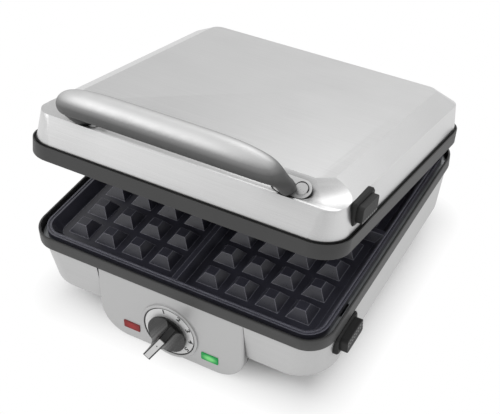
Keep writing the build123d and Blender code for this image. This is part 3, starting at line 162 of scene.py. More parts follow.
def new_finish(name):
    """A new material, followed by what open_finish gives for it."""
    material = bpy.data.materials.new(name)
    material.use_nodes = True
    return (material, *open_finish(material))


def source(shader, name):
    """The socket that feeds an input of the shader now."""
    return shader.inputs[name].links[0].from_socket


print("white is", linear("#FFFFFF"))

# %% [markdown]
# ## Brushed stainless steel
# The lid and the tub are pressed from thin stainless sheet whose grain runs from side to side. Real
# brushing is a few hundredths of a millimetre wide, too fine for a small picture, so the streaks are
# drawn about half a millimetre wide and 60 mm long. Noise stretched along X drives a faint change of
# brightness, of roughness and of height, which breaks up the reflection without showing as stripes.
# Inside a form such as the finger cove the colour is darkened by ambient occlusion, as painted shade.

# %% Brushed stainless steel
STREAK_WIDTH = 0.5 * MM
STREAK_LENGTH = 60 * MM
STREAK_DETAIL = 3.0
STREAK_ROUGHNESS = 0.6
STREAK_RELIEF = 0.25
STREAK_HEIGHT = 0.01 * MM
PATCH_SIZE = 45 * MM
PATCH_DETAIL = 2.0
PATCH_SHARE = 0.35
DARK_AT, LIGHT_AT = 0.35, 0.95
# painted shade in the hollows: how far it reaches, its samples and how dark it goes
SHADE_PAINT_REACH = 26 * MM
SHADE_PAINT_SAMPLES = 4
SHADE_PAINT_DEEP, SHADE_PAINT_OPEN = 0.35, 0.9
SHADE_PAINT_TONE = 0.3


def brushed_stainless(name, light_hex, dark_hex, rough_low, rough_high):
    """Stainless sheet that is brushed along X, with painted shade that darkens its hollows."""
    material, tree, shader, place = new_finish(name)
    stretched = add_node(tree, "ShaderNodeMapping", Vector=place,
                         Scale=(1 / STREAK_LENGTH, 1 / STREAK_WIDTH, 1 / STREAK_WIDTH))
    grain = add_node(tree, "ShaderNodeTexNoise", Vector=stretched.outputs["Vector"], Scale=1.0,
                     Detail=STREAK_DETAIL, Roughness=STREAK_ROUGHNESS).outputs["Fac"]
    patch = noise(tree, place, PATCH_SIZE, PATCH_DETAIL)
    tone = colour_ramp(tree, maths(tree, "MULTIPLY_ADD", patch, PATCH_SHARE, grain),
                       ((DARK_AT, dark_hex), (LIGHT_AT, light_hex)))
    # painted shade: ambient occlusion darkens the colour in hollows, in the cove and under the handle
    shade_occlusion = add_node(tree, "ShaderNodeAmbientOcclusion", {"samples": SHADE_PAINT_SAMPLES},
                      Distance=SHADE_PAINT_REACH)
    painted_shade = span(tree, shade_occlusion.outputs["AO"], SHADE_PAINT_DEEP, SHADE_PAINT_OPEN, SHADE_PAINT_TONE, 1.0)
    shaded = add_node(tree, "ShaderNodeVectorMath", {"operation": "SCALE"}, _0=tone, Scale=painted_shade)
    feed(tree, shader, Base_Color=shaded.outputs["Vector"], Metallic=1.0,
         Roughness=by_noise(tree, grain, rough_low, rough_high),
         Normal=relief(tree, grain, STREAK_RELIEF, STREAK_HEIGHT))
    return material


steel_lid = brushed_stainless("brushed_stainless_lid", "#DCDCDC", "#D0D0D0", 0.32, 0.42)
steel_tub = brushed_stainless("brushed_stainless_tub", "#C8C8C8", "#BABABA", 0.36, 0.46)
print("steel finishes", steel_lid.name, steel_tub.name)

# %% [markdown]
# ## Moulded plastics
# The bands, buttons, knob and underside are injection-moulded: heat-proof phenolic where they meet the
# plates, ABS elsewhere. A moulded face copies the mould's fine spark-eroded grain, which dulls the shine
# a little and unevenly. One function makes them all from a colour, a shine and a grain size, and a
# second adds the two rows of grip dots that a release button has, each painted paler as a highlight.

# %% Moulded plastics
MOULD_DETAIL = 4.0
MOULD_RELIEF = 0.3
CLOUD_SIZE = 30 * MM
CLOUD_DETAIL = 2.0
MOULD_SHINIER, MOULD_DULLER = 0.05, 0.08
BUTTON_ROUGH, BUTTON_GLOSS = 0.55, 0.25
BUTTON_GRAIN, BUTTON_GRAIN_HEIGHT = 0.5 * MM, 0.02 * MM
DOT_PITCH = 3.3 * MM
DOT_ROW = 3.1 * MM
# the pale tone of the grip dots is a painted highlight
DOT_HIGHLIGHT_HEX = "#8A8A8A"
DOT_CORE, DOT_FOOT = 0.16, 0.36
DOT_RELIEF = 0.8
DOT_RISE = 0.3 * MM
FACE_DEPTH = 0.3 * MM
LOWER_ROWS_IN, LOWER_ROWS_DOWN = 0.6 * MM, 1.2 * MM
UPPER_ROWS_IN, UPPER_ROWS_UP = 3.4 * MM, 8.0 * MM
LID_LEAN = radians(13.75)


def moulded_plastic(name, face_hex, worn_hex, rough, grain_size, grain_height, gloss=0.5):
    """A plastic with a mould's grain: two close tones, a shine and the size of the grain."""
    material, tree, shader, place = new_finish(name)
    grain = noise(tree, place, grain_size, MOULD_DETAIL)
    cloud = noise(tree, place, CLOUD_SIZE, CLOUD_DETAIL)
    feed(tree, shader, Base_Color=mix(tree, cloud, face_hex, worn_hex), Specular_IOR_Level=gloss,
         Roughness=by_noise(tree, grain, rough - MOULD_SHINIER, rough + MOULD_DULLER),
         Normal=relief(tree, grain, MOULD_RELIEF, grain_height))
    return material


def grip_button(name, face_hex, worn_hex, top_edge, lean):
    """A release button: plain moulded ABS whose outer face has two rows of small raised grip dots, each
    with a painted highlight.
    """
    material = moulded_plastic(name, face_hex, worn_hex, BUTTON_ROUGH, BUTTON_GRAIN, BUTTON_GRAIN_HEIGHT,
                               BUTTON_GLOSS)
    tree, shader, place = open_finish(material)
    level = add_node(tree, "ShaderNodeVectorRotate", {"rotation_type": "X_AXIS"}, Angle=lean,
                     Vector=vectors(tree, "SUBTRACT", place, tuple(top_edge))).outputs["Vector"]
    cell = vectors(tree, "FRACTION", vectors(tree, "MULTIPLY", level, (0.0, 1 / DOT_PITCH, 1 / DOT_ROW)))
    reach = vectors(tree, "LENGTH", vectors(tree, "SUBTRACT", cell, (0.0, 0.5, 0.5)))
    dome = span(tree, reach, DOT_CORE, DOT_FOOT, 1.0, 0.0, "SMOOTHSTEP")
    spot = add_node(tree, "ShaderNodeSeparateXYZ", Vector=level)
    outer = maths(tree, "GREATER_THAN", spot.outputs["X"], -FACE_DEPTH)
    in_rows = maths(tree, "COMPARE", spot.outputs["Z"], -DOT_ROW, DOT_ROW)
    dots = maths(tree, "MULTIPLY", maths(tree, "MULTIPLY", outer, in_rows), dome)
    raised = add_node(tree, "ShaderNodeBump", Height=dots, Strength=DOT_RELIEF, Distance=DOT_RISE,
                      Normal=source(shader, "Normal"))
    # painted highlight: each raised dot is coloured paler than the button
    feed(tree, shader, Base_Color=mix(tree, dots, source(shader, "Base Color"), DOT_HIGHLIGHT_HEX),
         Normal=raised.outputs["Normal"])
    return material


low_front, low_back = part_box("lower_release_button")
up_front, up_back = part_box("upper_release_button")
lower_edge = Vector((low_back[0], low_front[1] + LOWER_ROWS_IN, low_back[2] - LOWER_ROWS_DOWN))
upper_edge = Vector((up_back[0], up_front[1] + UPPER_ROWS_IN, up_front[2] + UPPER_ROWS_UP))
phenolic_band = moulded_plastic("moulded_phenolic_band", "#323232", "#383838", 0.48, 0.6 * MM, 0.01 * MM)
abs_bezel = moulded_plastic("moulded_abs_bezel", "#1E1E1E", "#242424", 0.55, 0.5 * MM, 0.02 * MM, 0.22)
grip_lower = grip_button("moulded_abs_button_lower", "#242424", "#2A2A2A", lower_edge, 0.0)
grip_upper = grip_button("moulded_abs_button_upper", "#282828", "#303030", upper_edge, LID_LEAN)
abs_knob = moulded_plastic("polished_abs_knob", "#161616", "#1E1E1E", 0.22, 0.8 * MM, 0.004 * MM)
abs_under = moulded_plastic("moulded_abs_underside", "#1E1E1E", "#262626", 0.55, 0.6 * MM, 0.03 * MM)
ceramic_steatite = moulded_plastic("pressed_steatite", "#DAD4C6", "#CFC8B8", 0.6, 0.7 * MM, 0.02 * MM)
rubber_pad = moulded_plastic("moulded_rubber_pad", "#1A1A1A", "#202020", 0.7, 0.5 * MM, 0.04 * MM, 0.3)
silicone_lead = moulded_plastic("extruded_silicone_lead", "#C8C4B8", "#BDB8AB", 0.5, 0.5 * MM, 0.01 * MM)
print("plastics done")

# %% [markdown]
# ## Non-stick casting
# The plates are die-cast aluminium sprayed with a black non-stick coat. The coat follows the grain of
# the blasted casting, so it has a soft bluish sheen. A painted highlight runs along every edge: where
# the surface turns within a millimetre, the tone goes paler.

# %% Non-stick coated cast aluminium
BLAST_SIZE = 0.7 * MM
BLAST_DETAIL = 5.0
BLAST_RELIEF = 0.35
BLAST_HEIGHT = 0.02 * MM
COAT_CLOUD = 12 * MM
COAT_CLOUD_DETAIL = 3.0
COAT_DEEP_HEX, COAT_PALE_HEX, EDGE_HIGHLIGHT_HEX = "#2C2C34", "#3A3A44", "#8C8C98"
COAT_SHINE = (0.26, 0.40)
COAT_GLOSS = 0.6
EDGE_REACH = 0.9 * MM
EDGE_SAMPLES = 4
FLAT_AT, TURNED_AT = 0.995, 0.93
EDGE_HIGHLIGHT_SHARE = 0.8


def nonstick_coat(name):
    """The black coat of the plates, with a painted highlight that makes it paler along every edge."""
    material, tree, shader, place = new_finish(name)
    blast = noise(tree, place, BLAST_SIZE, BLAST_DETAIL)
    cloud = noise(tree, place, COAT_CLOUD, COAT_CLOUD_DETAIL)
    # painted highlight: the tone turns paler where the surface turns within a millimetre
    surface = add_node(tree, "ShaderNodeNewGeometry")
    softened = add_node(tree, "ShaderNodeBevel", {"samples": EDGE_SAMPLES}, Radius=EDGE_REACH)
    flatness = vectors(tree, "DOT_PRODUCT", surface.outputs["Normal"], softened.outputs["Normal"])
    edge = span(tree, flatness, FLAT_AT, TURNED_AT, 0.0, EDGE_HIGHLIGHT_SHARE, "SMOOTHSTEP")
    tone = mix(tree, edge, mix(tree, cloud, COAT_DEEP_HEX, COAT_PALE_HEX), EDGE_HIGHLIGHT_HEX)
    feed(tree, shader, Base_Color=tone, Roughness=by_noise(tree, blast, *COAT_SHINE),
         Normal=relief(tree, blast, BLAST_RELIEF, BLAST_HEIGHT), Specular_IOR_Level=COAT_GLOSS)
    return material


nonstick = nonstick_coat("nonstick_coated_cast_aluminium")
print("non-stick done")

# %% [markdown]
# ## Lacquered and plain metals
# The control panel is a silver-lacquered moulding, the dial ring is anodised, the handle's caps are
# turned, and the hidden sheet parts are galvanised. All are metals or hold metal flake, so they share
# one recipe: a tone, a fine noise in the shine and a slight unevenness of the surface.

# %% Lacquered and plain metals
METAL_DETAIL = 3.0
METAL_RELIEF = 0.2
METAL_HEIGHT = 0.005 * MM
METAL_SHINIER, METAL_DULLER = 0.04, 0.06


def plain_metal(name, light_hex, dark_hex, rough, grain_size, metal=1.0):
    """A metal or a metallic lacquer: two close tones, a shine and the size of its unevenness."""
    material, tree, shader, place = new_finish(name)
    grain = noise(tree, place, grain_size, METAL_DETAIL)
    feed(tree, shader, Base_Color=mix(tree, grain, dark_hex, light_hex), Metallic=metal,
         Roughness=by_noise(tree, grain, rough - METAL_SHINIER, rough + METAL_DULLER),
         Normal=relief(tree, grain, METAL_RELIEF, METAL_HEIGHT))
    return material


lacquer_panel = plain_metal("silver_lacquered_panel", "#BEBEBE", "#B6B6B6", 0.42, 0.5 * MM, 0.6)
cap_steel = plain_metal("turned_steel_cap", "#DADADA", "#D2D2D2", 0.3, 1.0 * MM)
anodised_ring = plain_metal("anodised_dial_ring", "#E6E6E6", "#DEDEDE", 0.5, 0.4 * MM, 0.15)
galvanised = plain_metal("galvanised_sheet", "#A8AAAC", "#909294", 0.42, 6 * MM)
heater_sheath = plain_metal("oxidised_heater_sheath", "#4A4642", "#38342F", 0.5, 2 * MM, 0.9)
spring_wire = plain_metal("drawn_spring_steel", "#B4B4B4", "#9C9C9C", 0.3, 1 * MM)
print("metals done")

# %% [markdown]
# ## Satin-plated handle
# The bar is cast, polished along its length and satin-plated. Its tone is painted light and shade:
# brightest on the upper side, where the light falls, and falling off smoothly to a dark underside. The
# object's own normal drives the fall, which keeps the gradient even and quiet.

# %% Satin-plated handle
PAINTED_LIGHT_WAY = (0.0, -0.225, 0.974)
BAR_PAINTED_SHADING = ((0.0, "#585858"), (0.36, "#666666"), (0.66, "#929292"), (0.86, "#C8C8C8"), (1.0, "#E0E0E0"))
BAR_SHINE = (0.50, 0.58)
BAR_METAL = 0.9
POLISH_SIZE = 8 * MM
POLISH_DETAIL = 2.0
POLISH_SHARE = 0.04


def plated_bar(name):
    """Satin plating with painted light and shade: its tone follows the way that the surface faces."""
    material, tree, shader, place = new_finish(name)
    polish = noise(tree, place, POLISH_SIZE, POLISH_DETAIL)
    # painted light and shade: faces turned up are light and faces turned down are dark
    lit_facing = vectors(tree, "DOT_PRODUCT", place.node.outputs["Normal"], PAINTED_LIGHT_WAY)
    shading_and_polish = maths(tree, "MULTIPLY_ADD", polish, POLISH_SHARE, lit_facing)
    feed(tree, shader, Base_Color=colour_ramp(tree, shading_and_polish, BAR_PAINTED_SHADING), Metallic=BAR_METAL,
         Roughness=by_noise(tree, polish, *BAR_SHINE))
    return material


plated_handle = plated_bar("satin_plated_handle_painted_shading")
print("handle done")

# %% [markdown]
# ## Indicator lenses
# Each lamp shines through a rectangular tinted lens, moulded in clear polycarbonate with the colour
# through it. The middle is lit by the neon behind, and the rim, where the plastic is thickest, stays
# deep. Object-space distance from the lens centre drives the colour from rim to middle.

# %% Tinted polycarbonate lenses
LENS_WIDTH = 14.5 * MM
LENS_HEIGHT = 6.9 * MM
MIDDLE_TO, RIM_FROM = 0.35, 0.95
LENS_ROUGH = 0.35
LENS_GLOSS = 0.25


def box_middle(name):
    """The middle of a node's box."""
    low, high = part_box(name)
    return (low + high) / 2


def tinted_lens(name, rim_hex, middle_hex, glow, centre):
    """A lens that glows a little and turns from one colour in its middle to another at its rim."""
    material, tree, shader, place = new_finish(name)
    flat = vectors(tree, "MULTIPLY", vectors(tree, "SUBTRACT", place, tuple(centre)),
                   (2 / LENS_WIDTH, 0.0, 2 / LENS_HEIGHT))
    tint = colour_ramp(tree, vectors(tree, "LENGTH", flat),
                       ((MIDDLE_TO, middle_hex), (RIM_FROM, rim_hex)))
    feed(tree, shader, Base_Color=tint, Emission_Color=tint, Emission_Strength=glow,
         Roughness=LENS_ROUGH, Specular_IOR_Level=LENS_GLOSS)
    return material


red_lens = tinted_lens("tinted_polycarbonate_red", "#7E1C1C", "#9A2626", 0.02,
                       box_middle("heating_lamp"))
green_lens = tinted_lens("tinted_polycarbonate_green", "#0C8A42", "#74CC7A", 0.28,
                         box_middle("ready_lamp"))
print("lenses done")

# %% [markdown]
# ## The dial's plane and the pointer strip
# The dial leans back a little, so its print and its pointer are placed by its own three directions.
# The strip let into the knob's fin is bright on the fin's outer face and dull down the end that turns
# back to the disc.

# %% Dial plane and pointer strip
DIAL_LEAN = radians(3.1)
DIAL_CENTRE = Vector((0, -128.4, 27.2)) * MM
FIN_HEIGHT = 22.0 * MM
STRIP_THICKNESS = 0.7 * MM
STRIP_HEX, STRIP_DARK_HEX, STRIP_END_HEX = "#CFCFCF", "#C6C6C6", "#5A5A5A"
STRIP_ROUGH = 0.36
STRIP_GRAIN = 0.4 * MM

dial_right = Vector((1, 0, 0))
dial_up = Vector((0, sin(DIAL_LEAN), cos(DIAL_LEAN)))
dial_out = dial_right.cross(dial_up)


def on_dial(degrees):
    """The direction on the dial's face that lies at an angle from its right, counted anticlockwise."""
    return dial_right * cos(radians(degrees)) + dial_up * sin(radians(degrees))


def two_tone_strip(name):
    """The metal recipe, dulled below the fin's outer face."""
    material = plain_metal(name, STRIP_HEX, STRIP_DARK_HEX, STRIP_ROUGH, STRIP_GRAIN)
    tree, shader, place = open_finish(material)
    from_dial = vectors(tree, "SUBTRACT", place, tuple(DIAL_CENTRE))
    height = vectors(tree, "DOT_PRODUCT", from_dial, tuple(dial_out))
    outer = maths(tree, "GREATER_THAN", height, FIN_HEIGHT - STRIP_THICKNESS)
    feed(tree, shader, Base_Color=mix(tree, outer, STRIP_END_HEX, source(shader, "Base Color")))
    return material


strip_finish = two_tone_strip("anodised_pointer_strip")
print("pointer strip done")

# %% [markdown]
# ## Finishes on the CAD pieces
# Most CAD pieces already have their true shape, so they stay and only take a finish. Pressed and
# moulded edges are never knife-sharp, and a thin round on each edge is what catches the light. The
# imported mesh has split corners, so a Weld modifier joins them before a Bevel rounds what is sharp.

# %% Finish and edge rounds for the CAD pieces
FINISHES = {
    steel_lid: ["lid_shell"],
    steel_tub: ["base_shell"],
    phenolic_band: ["base_trim", "lid_trim", "hinge_arms"],
    abs_bezel: ["lower_latch_bezel", "upper_latch_bezel"],
    grip_lower: ["lower_release_button"],
    grip_upper: ["upper_release_button"],
    abs_knob: ["knob"],
    abs_under: ["bottom_cover", "control_box", "lamp_holders", "cord_gland"],
    rubber_pad: ["foot_pads"],
    ceramic_steatite: ["thermostat", "terminal_block", "lower_heater_terminals",
                       "upper_heater_terminals"],
    silicone_lead: ["lead_wires"],
    nonstick: ["lower_plate", "upper_plate"],
    plated_handle: ["handle"],
    cap_steel: ["handle_caps"],
    lacquer_panel: ["control_panel", "dial_rim"],
    anodised_ring: ["dial_ring"],
    strip_finish: ["knob_inlay"],
    galvanised: ["lower_heater_tray", "upper_heater_tray", "lower_heater_clips", "upper_heater_clips",
                 "lower_plate_retainers", "upper_plate_retainers", "hinge_brackets",
                 "thermostat_bracket", "lower_latch_hook", "upper_latch_hook", "lid_studs"],
    heater_sheath: ["lower_heater", "upper_heater"],
    spring_wire: ["lower_latch_spring", "upper_latch_spring", "hinge_pins", "bracket_screws",
                  "cover_screws", "lower_tray_screws", "upper_tray_screws", "thermostat_screws",
                  "handle_screws", "thermostat_shaft"],
    red_lens: ["heating_lamp"],
    green_lens: ["ready_lamp"],
}
EDGE_ROUNDS = {
    0.3 * MM: ["base_trim", "lid_trim", "control_panel", "lower_latch_bezel", "upper_latch_bezel",
               "hinge_brackets", "bottom_cover"],
    0.5 * MM: ["base_shell", "lower_plate", "upper_plate", "knob"],
    0.6 * MM: ["lower_release_button", "upper_release_button"],
    0.9 * MM: ["lid_shell"],
    1.0 * MM: ["hinge_arms"],
    1.2 * MM: ["handle"],
}
WELD_REACH = 0.002 * MM
ROUND_SEGMENTS = 3
ROUNDED_ANGLE = radians(28)


def round_edges(piece, radius):
    """Join the split corners of an imported mesh and round its sharp edges."""
    weld = piece.modifiers.new("weld", "WELD")
    weld.merge_threshold = WELD_REACH
    bevel = piece.modifiers.new("edge_round", "BEVEL")
    bevel.width = radius
    bevel.segments = ROUND_SEGMENTS
    bevel.limit_method = "ANGLE"
    bevel.angle_limit = ROUNDED_ANGLE
    bevel.harden_normals = True
    bevel.use_clamp_overlap = True


for finish, names in FINISHES.items():
    for name in names:
        node[name].data.materials.clear()
        node[name].data.materials.append(finish)
        for polygon in node[name].data.polygons:
            polygon.material_index = 0
for radius, names in EDGE_ROUNDS.items():
    for name in names:
        round_edges(node[name], radius)
covered = {name for names in FINISHES.values() for name in names}
print("CAD pieces without a finish:", sorted(set(node) - covered))

# %% [markdown]
# ## Helpers for the added pieces
# Most of the small pieces below are rings and coils, so one function lays a skin over a row of closed
# loops of points, and another puts the finished mesh on the body that it rides on.

# %% Mesh helpers
RING_STEPS = 96


def skin(loops, closed=False, ends=False, smooth=False):
    """A mesh from each loop of points to the next; it can join the last to the first, or cap both."""
    shape = bmesh.new()
    rows = [[shape.verts.new(point) for point in loop] for loop in loops]
    for low, high in zip(rows, rows[1:] + rows[:1] if closed else rows[1:]):
        for step in range(len(low)):
            after = (step + 1) % len(low)
            shape.faces.new((low[step], low[after], high[after], high[step]))
    if ends:
        shape.faces.new(rows[0])
        shape.faces.new(rows[-1])
    bmesh.ops.recalc_face_normals(shape, faces=shape.faces[:])
    for face in shape.faces:
        face.smooth = smooth
    mesh = bpy.data.meshes.new("skin")
    shape.to_mesh(mesh)
    shape.free()
    return mesh


def ring_mesh(centre, normal, inner, outer, rise):
    """A flat ring with a little thickness: inner and outer walls and a top face."""
    normal = normal.normalized()
    side = normal.orthogonal().normalized()
    other = normal.cross(side)
    turns = [2 * pi * step / RING_STEPS for step in range(RING_STEPS)]
    return skin([[centre + normal * lift + (side * cos(turn) + other * sin(turn)) * radius
                  for turn in turns]
                 for radius, lift in ((inner, 0.0), (inner, rise), (outer, rise), (outer, 0.0))])


def keep_mesh(name, mesh, finish, body):
    """Put a finished mesh in the scene under a name, a finish and the body that it rides on."""
    mesh.name = name
    made = bpy.data.objects.new(name, mesh)
    bpy.context.scene.collection.objects.link(made)
    mesh.materials.clear()
    mesh.materials.append(finish)
    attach(made, body)
    return made


# %% [markdown]
# ## Print on the dial
# The ring is pad-printed with plain numbers in black, and a thin black line parts it from its raised
# rim. The ink stands a few hundredths of a millimetre proud. Each number is set with its top outward
# at the angle read off the photo, on the plane that the dial leans in. A small black dot near the bend
# of the pointer strip marks the setting.

# %% Print on the dial
INK_HEX, INK_WORN_HEX = "#101010", "#1C1C1C"
INK_ROUGH = 0.5
FILM_SIZE = 0.4 * MM
FILM_DETAIL = 2.0
RING_FACE = 0.8 * MM
INK_RISE = 0.06 * MM
NUMBER_RADIUS = 18.9 * MM
NUMBER_SIZE = 5.6 * MM
NUMBER_WIDEN = 1.35
INK_SPREAD = 0.022
NUMBER_ANGLES = {"1": 103, "2": 62, "3": 28, "4": -6, "5": -38}
RING_EDGE = 22.5 * MM
LINE_WIDTH = 0.9 * MM
HAIR = 0.02 * MM
FIN_ANGLE = 58
DOT_ALONG = 5.3 * MM
DOT_RADIUS = 0.6 * MM
DOT_THICKNESS = 0.04 * MM


def black_ink(name):
    """Pad-printing ink: near black, its dry film a little uneven in shine."""
    material, tree, shader, place = new_finish(name)
    film = noise(tree, place, FILM_SIZE, FILM_DETAIL)
    feed(tree, shader, Base_Color=mix(tree, film, INK_HEX, INK_WORN_HEX), Roughness=INK_ROUGH)
    return material


def number_mesh(text, place, top, normal):
    """The flat outline of a number with a film's thickness, laid out at a place with its top one way."""
    curve = bpy.data.curves.new("number", "FONT")
    curve.body = text
    curve.align_x = "CENTER"
    curve.align_y = "CENTER"
    curve.extrude = INK_RISE / 2 / NUMBER_SIZE
    curve.offset = INK_SPREAD
    maker = bpy.data.objects.new("number_outline", curve)
    bpy.context.scene.collection.objects.link(maker)
    bpy.context.view_layer.update()
    mesh = bpy.data.meshes.new_from_object(maker.evaluated_get(bpy.context.evaluated_depsgraph_get()))
    bpy.data.objects.remove(maker)
    turn = Matrix((top.cross(normal), top, normal)).transposed().to_4x4()
    size = Matrix.Diagonal((NUMBER_SIZE * NUMBER_WIDEN, NUMBER_SIZE, NUMBER_SIZE, 1))
    mesh.transform(Matrix.Translation(place) @ turn @ size)
    return mesh


# the same near-black material is the print on the dial and also the painted shadow in the gap above the
# lid's band
ink_and_gap_shade = black_ink("pad_printing_ink_and_gap_shade")
for text, degrees in NUMBER_ANGLES.items():
    outward = on_dial(degrees)
    spot = DIAL_CENTRE + dial_out * (RING_FACE + INK_RISE / 2) + outward * NUMBER_RADIUS
    keep_mesh("dial_number_" + text, number_mesh(text, spot, outward, dial_out), ink_and_gap_shade, "base")
line = ring_mesh(DIAL_CENTRE + dial_out * RING_FACE, dial_out, RING_EDGE - LINE_WIDTH,
                 RING_EDGE - HAIR, INK_RISE)
keep_mesh("dial_line", line, ink_and_gap_shade, "base")
dot = ring_mesh(DIAL_CENTRE + dial_out * FIN_HEIGHT + on_dial(FIN_ANGLE) * DOT_ALONG, dial_out,
                HAIR, DOT_RADIUS, DOT_THICKNESS)
keep_mesh("pointer_dot", dot, ink_and_gap_shade, "knob_assembly")
print("dial numbers", len(NUMBER_ANGLES))

# %% [markdown]
# ## Release springs
# Each button is pushed back by a small coil spring. The spring is wound again here from its real sizes,
# in place of the CAD spring, as a mesh of its own on the body that holds it.

# %% Release springs
COIL_RADIUS = 2.75 * MM
WIRE_RADIUS = 0.4 * MM
COIL_PITCH = 2.2 * MM
TURN_STEPS = 24
WIRE_SIDES = 8
COIL_AXIS = Vector((1, 0, 0))


def coil_mesh(low, high):
    """A helical wire along X that fills the box of the spring it stands for."""
    axis_y, axis_z = (low.y + high.y) / 2, (low.z + high.z) / 2
    start, end = low.x + WIRE_RADIUS, high.x - WIRE_RADIUS
    steps = int((end - start) / COIL_PITCH * TURN_STEPS)
    loops = []
    for step in range(steps + 1):
        turn = 2 * pi * step / TURN_STEPS
        spoke = Vector((0, cos(turn), sin(turn)))
        centre = Vector((start + (end - start) * step / steps, axis_y, axis_z)) + spoke * COIL_RADIUS
        ways = [2 * pi * side / WIRE_SIDES for side in range(WIRE_SIDES)]
        loops.append([centre + (spoke * cos(way) + COIL_AXIS * sin(way)) * WIRE_RADIUS for way in ways])
    return skin(loops, ends=True, smooth=True)


for half, body in (("lower", "base"), ("upper", "lid")):
    low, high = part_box(half + "_latch_spring")
    spring = keep_mesh(half + "_coil", coil_mesh(low, high), spring_wire, body)
    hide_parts(half + "_latch_spring")
    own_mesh(spring)
print("springs", round(high.x - low.x, 4), "long")

# %% [markdown]
# ## Seals round the handle caps
# Each cap sits on a thin black washer whose edge shows as a dark ring round the cap.

# %% Seals round the handle caps
CAP_RADIUS = 4.45 * MM
CAP_HEIGHT = 1.0 * MM
SEAL_WIDTH = 0.6 * MM
SEAL_THICKNESS = 0.35 * MM
SLOT_SLOPE = radians(40)

lug_out = Vector((0, -sin(SLOT_SLOPE), cos(SLOT_SLOPE)))
cap_low, cap_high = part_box("handle_caps")
for side, word in ((-1, "left"), (1, "right")):
    seat = Vector((side * (cap_high[0] - CAP_RADIUS), (cap_low[1] + cap_high[1]) / 2,
                   (cap_low[2] + cap_high[2]) / 2)) - lug_out * CAP_HEIGHT / 2
    seal = ring_mesh(seat, lug_out, CAP_RADIUS, CAP_RADIUS + SEAL_WIDTH, SEAL_THICKNESS)
    keep_mesh("cap_seal_" + word, seal, ink_and_gap_shade, "lid")
print("right cap seal at", tuple(round(v, 4) for v in seat))

# %% [markdown]
# ## Shadow gap above the lid's band
# The pressed lid stands a hair off its plastic band, and the shade in that gap is painted as a fine
# black band all the way round. The band follows the lid's own lowest edge, read from the imported mesh,
# so it can't drift.

# %% Shadow gap above the lid's band
GAP_HEIGHT = 0.9 * MM
GAP_PROUD = 0.25 * MM
EDGE_BAND = 0.15 * MM
WAYS_PER_RADIAN = 60

lean = Matrix.Rotation(LID_LEAN, 4, "X")
level_points = [lean @ vertex.co for vertex in node["lid_shell"].data.vertices]
lowest = min(point.z for point in level_points)
band_top = max((lean @ vertex.co).z for vertex in node["lid_trim"].data.vertices)
rim = [point for point in level_points if point.z < lowest + EDGE_BAND]
middle = sum(rim, Vector()) / len(rim)
furthest = {}
for point in rim:
    way = round(atan2(point.y - middle.y, point.x - middle.x) * WAYS_PER_RADIAN)
    if way not in furthest or hypot(*(point - middle).xy) > hypot(*(furthest[way] - middle).xy):
        furthest[way] = point
outline = [furthest[way] for way in sorted(furthest)]
walls = ((0.0, -GAP_PROUD), (0.0, GAP_PROUD), (GAP_HEIGHT, GAP_PROUD), (GAP_HEIGHT, -GAP_PROUD))
loops = []
for rise, proud in walls:
    stood_off = [point.xy + (point - middle).xy.normalized() * proud for point in outline]
    loops.append([lean.inverted() @ Vector((*place, band_top + rise)) for place in stood_off])
# painted shadow: a thin black band stands in for the shade in the gap
keep_mesh("lid_shadow_gap", skin(loops, closed=True), ink_and_gap_shade, "lid")
print("gap points", len(outline), "heights", round(lowest, 4), round(band_top, 4))

# %% [markdown]
# ## The studio
# The photograph was taken on a white sweep, from the front right and well above, with a long lens.
# The camera below was solved from the edges of the two square halves. The floor is a pale sweep that
# keeps the soft shadow, and the lamps are three large soft panels at a plain level.

# %% Camera
AZIMUTH, ELEVATION, ROLL = radians(30.211), radians(41.578), radians(-1.556)
CAMERA_PLACE = Vector((328.62, -567.09, 633.25)) * MM
FOCAL_LENGTH, SENSOR_WIDTH = 76.98, 36

back = Vector((sin(AZIMUTH) * cos(ELEVATION), -cos(AZIMUTH) * cos(ELEVATION), sin(ELEVATION)))
right = Vector((cos(AZIMUTH), sin(AZIMUTH), 0))
up = back.cross(right)
rolled_right = right * cos(ROLL) + up * sin(ROLL)
rolled_up = up * cos(ROLL) - right * sin(ROLL)
turn = Matrix((rolled_right, rolled_up, back)).transposed().to_4x4()
lens = bpy.data.cameras.new("studio_camera")
lens.lens = FOCAL_LENGTH
lens.sensor_width = SENSOR_WIDTH
camera = bpy.data.objects.new("studio_camera", lens)
camera.matrix_world = Matrix.Translation(CAMERA_PLACE) @ turn
bpy.context.scene.collection.objects.link(camera)
bpy.context.scene.camera = camera
print("camera", tuple(round(v, 3) for v in camera.location))

# %% [markdown]
# ### Floor and world
# Seen by the camera, or in metal or a lens, the paper is plain white, as the photograph's background
# is. Under the body and close round it the paper is a lit surface, which keeps the soft shadow, and it
# turns white within a short reach. The world is white to the camera and through a lens, and lights the
# object and shows in its metal a little below white.

# %% Floor and world
FLOOR_HALF = 6.0
FLOOR_DROP = 0.2 * MM
PAPER_HEX, PAPER_PALE_HEX = "#F6F6F6", "#FAFAFA"
PAPER_ROUGH = 0.9
PAPER_GLOSS = 0.1
FIBRE_SCALE = 900.0
FIBRE_DETAIL = 3.0
SHADOW_HALF = 104 * MM
SHADOW_REACH = 40 * MM
SHADOW_CORE = 0.04
SOFT_LIGHT = 0.72
WHITE = (1, 1, 1, 1)


def ray_share(tree, *kinds):
    """1 for rays of the named kinds and 0 for all others."""
    path = add_node(tree, "ShaderNodeLightPath")
    share = path.outputs[kinds[0]]
    for kind in kinds[1:]:
        share = maths(tree, "MAXIMUM", share, path.outputs[kind])
    return share


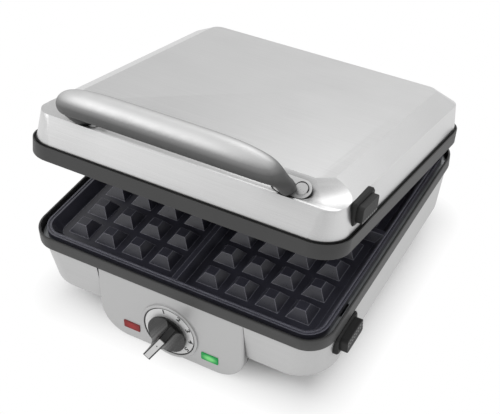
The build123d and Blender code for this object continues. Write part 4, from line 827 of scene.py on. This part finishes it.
def white_sweep():
    """Pale paper that is white to the camera, except where it keeps the object's shadow."""
    material, tree, shader, place = new_finish("white_paper_sweep")
    fibre = add_node(tree, "ShaderNodeTexNoise", Vector=place, Scale=FIBRE_SCALE, Detail=FIBRE_DETAIL)
    feed(tree, shader, Base_Color=mix(tree, fibre.outputs["Fac"], PAPER_HEX, PAPER_PALE_HEX),
         Roughness=PAPER_ROUGH, Specular_IOR_Level=PAPER_GLOSS)
    seen = ray_share(tree, "Is Camera Ray", "Is Glossy Ray", "Is Transmission Ray")
    past = vectors(tree, "SUBTRACT", vectors(tree, "ABSOLUTE", place), (SHADOW_HALF, SHADOW_HALF, 0.0))
    reach = vectors(tree, "LENGTH", vectors(tree, "MAXIMUM", past, (0.0, 0.0, 0.0)))
    clear = span(tree, reach, 0.0, SHADOW_REACH, SHADOW_CORE, 1.0)
    paper = add_node(tree, "ShaderNodeEmission", Color=WHITE, Strength=1.0)
    both = add_node(tree, "ShaderNodeMixShader", Fac=maths(tree, "MULTIPLY", seen, clear),
                    _1=shader.outputs["BSDF"], _2=paper.outputs["Emission"])
    feed(tree, tree.nodes["Material Output"], Surface=both.outputs["Shader"])
    return material


bpy.ops.mesh.primitive_plane_add(size=2 * FLOOR_HALF, location=(0, 0, -FLOOR_DROP))
floor = bpy.context.object
floor.name = "studio_floor"
floor.data.materials.append(white_sweep())

world = bpy.data.worlds.new("studio_world")
bpy.context.scene.world = world
world.use_nodes = True
tree = world.node_tree
soft = add_node(tree, "ShaderNodeBackground", Color=WHITE, Strength=SOFT_LIGHT)
white = add_node(tree, "ShaderNodeBackground", Color=WHITE, Strength=1.0)
both = add_node(tree, "ShaderNodeMixShader", Fac=ray_share(tree, "Is Camera Ray", "Is Transmission Ray"),
                _1=soft.outputs["Background"], _2=white.outputs["Background"])
feed(tree, tree.nodes["World Output"], Surface=both.outputs["Shader"])

# %% Lamps
TARGET = Vector((0, 0, 0.1))
LAMPS = (
    ("key_panel", (-0.9, -0.8, 1.0), (1.2, 1.0), 7),
    ("right_panel", (1.3, -0.2, 0.8), (1.0, 1.0), 1),
    ("back_panel", (0.2, 1.2, 1.2), (1.4, 0.7), 6),
)


def soft_panel(name, place, size, watts):
    """A rectangular area lamp that faces the middle of the object."""
    lamp = bpy.data.lights.new(name, "AREA")
    lamp.shape = "RECTANGLE"
    lamp.size, lamp.size_y = size
    lamp.energy = watts
    panel = bpy.data.objects.new(name, lamp)
    panel.location = place
    panel.rotation_euler = (TARGET - Vector(place)).to_track_quat("-Z", "Y").to_euler()
    bpy.context.scene.collection.objects.link(panel)


for lamp_settings in LAMPS:
    soft_panel(*lamp_settings)
bpy.context.scene.view_settings.view_transform = "Standard"
print("lamps set")
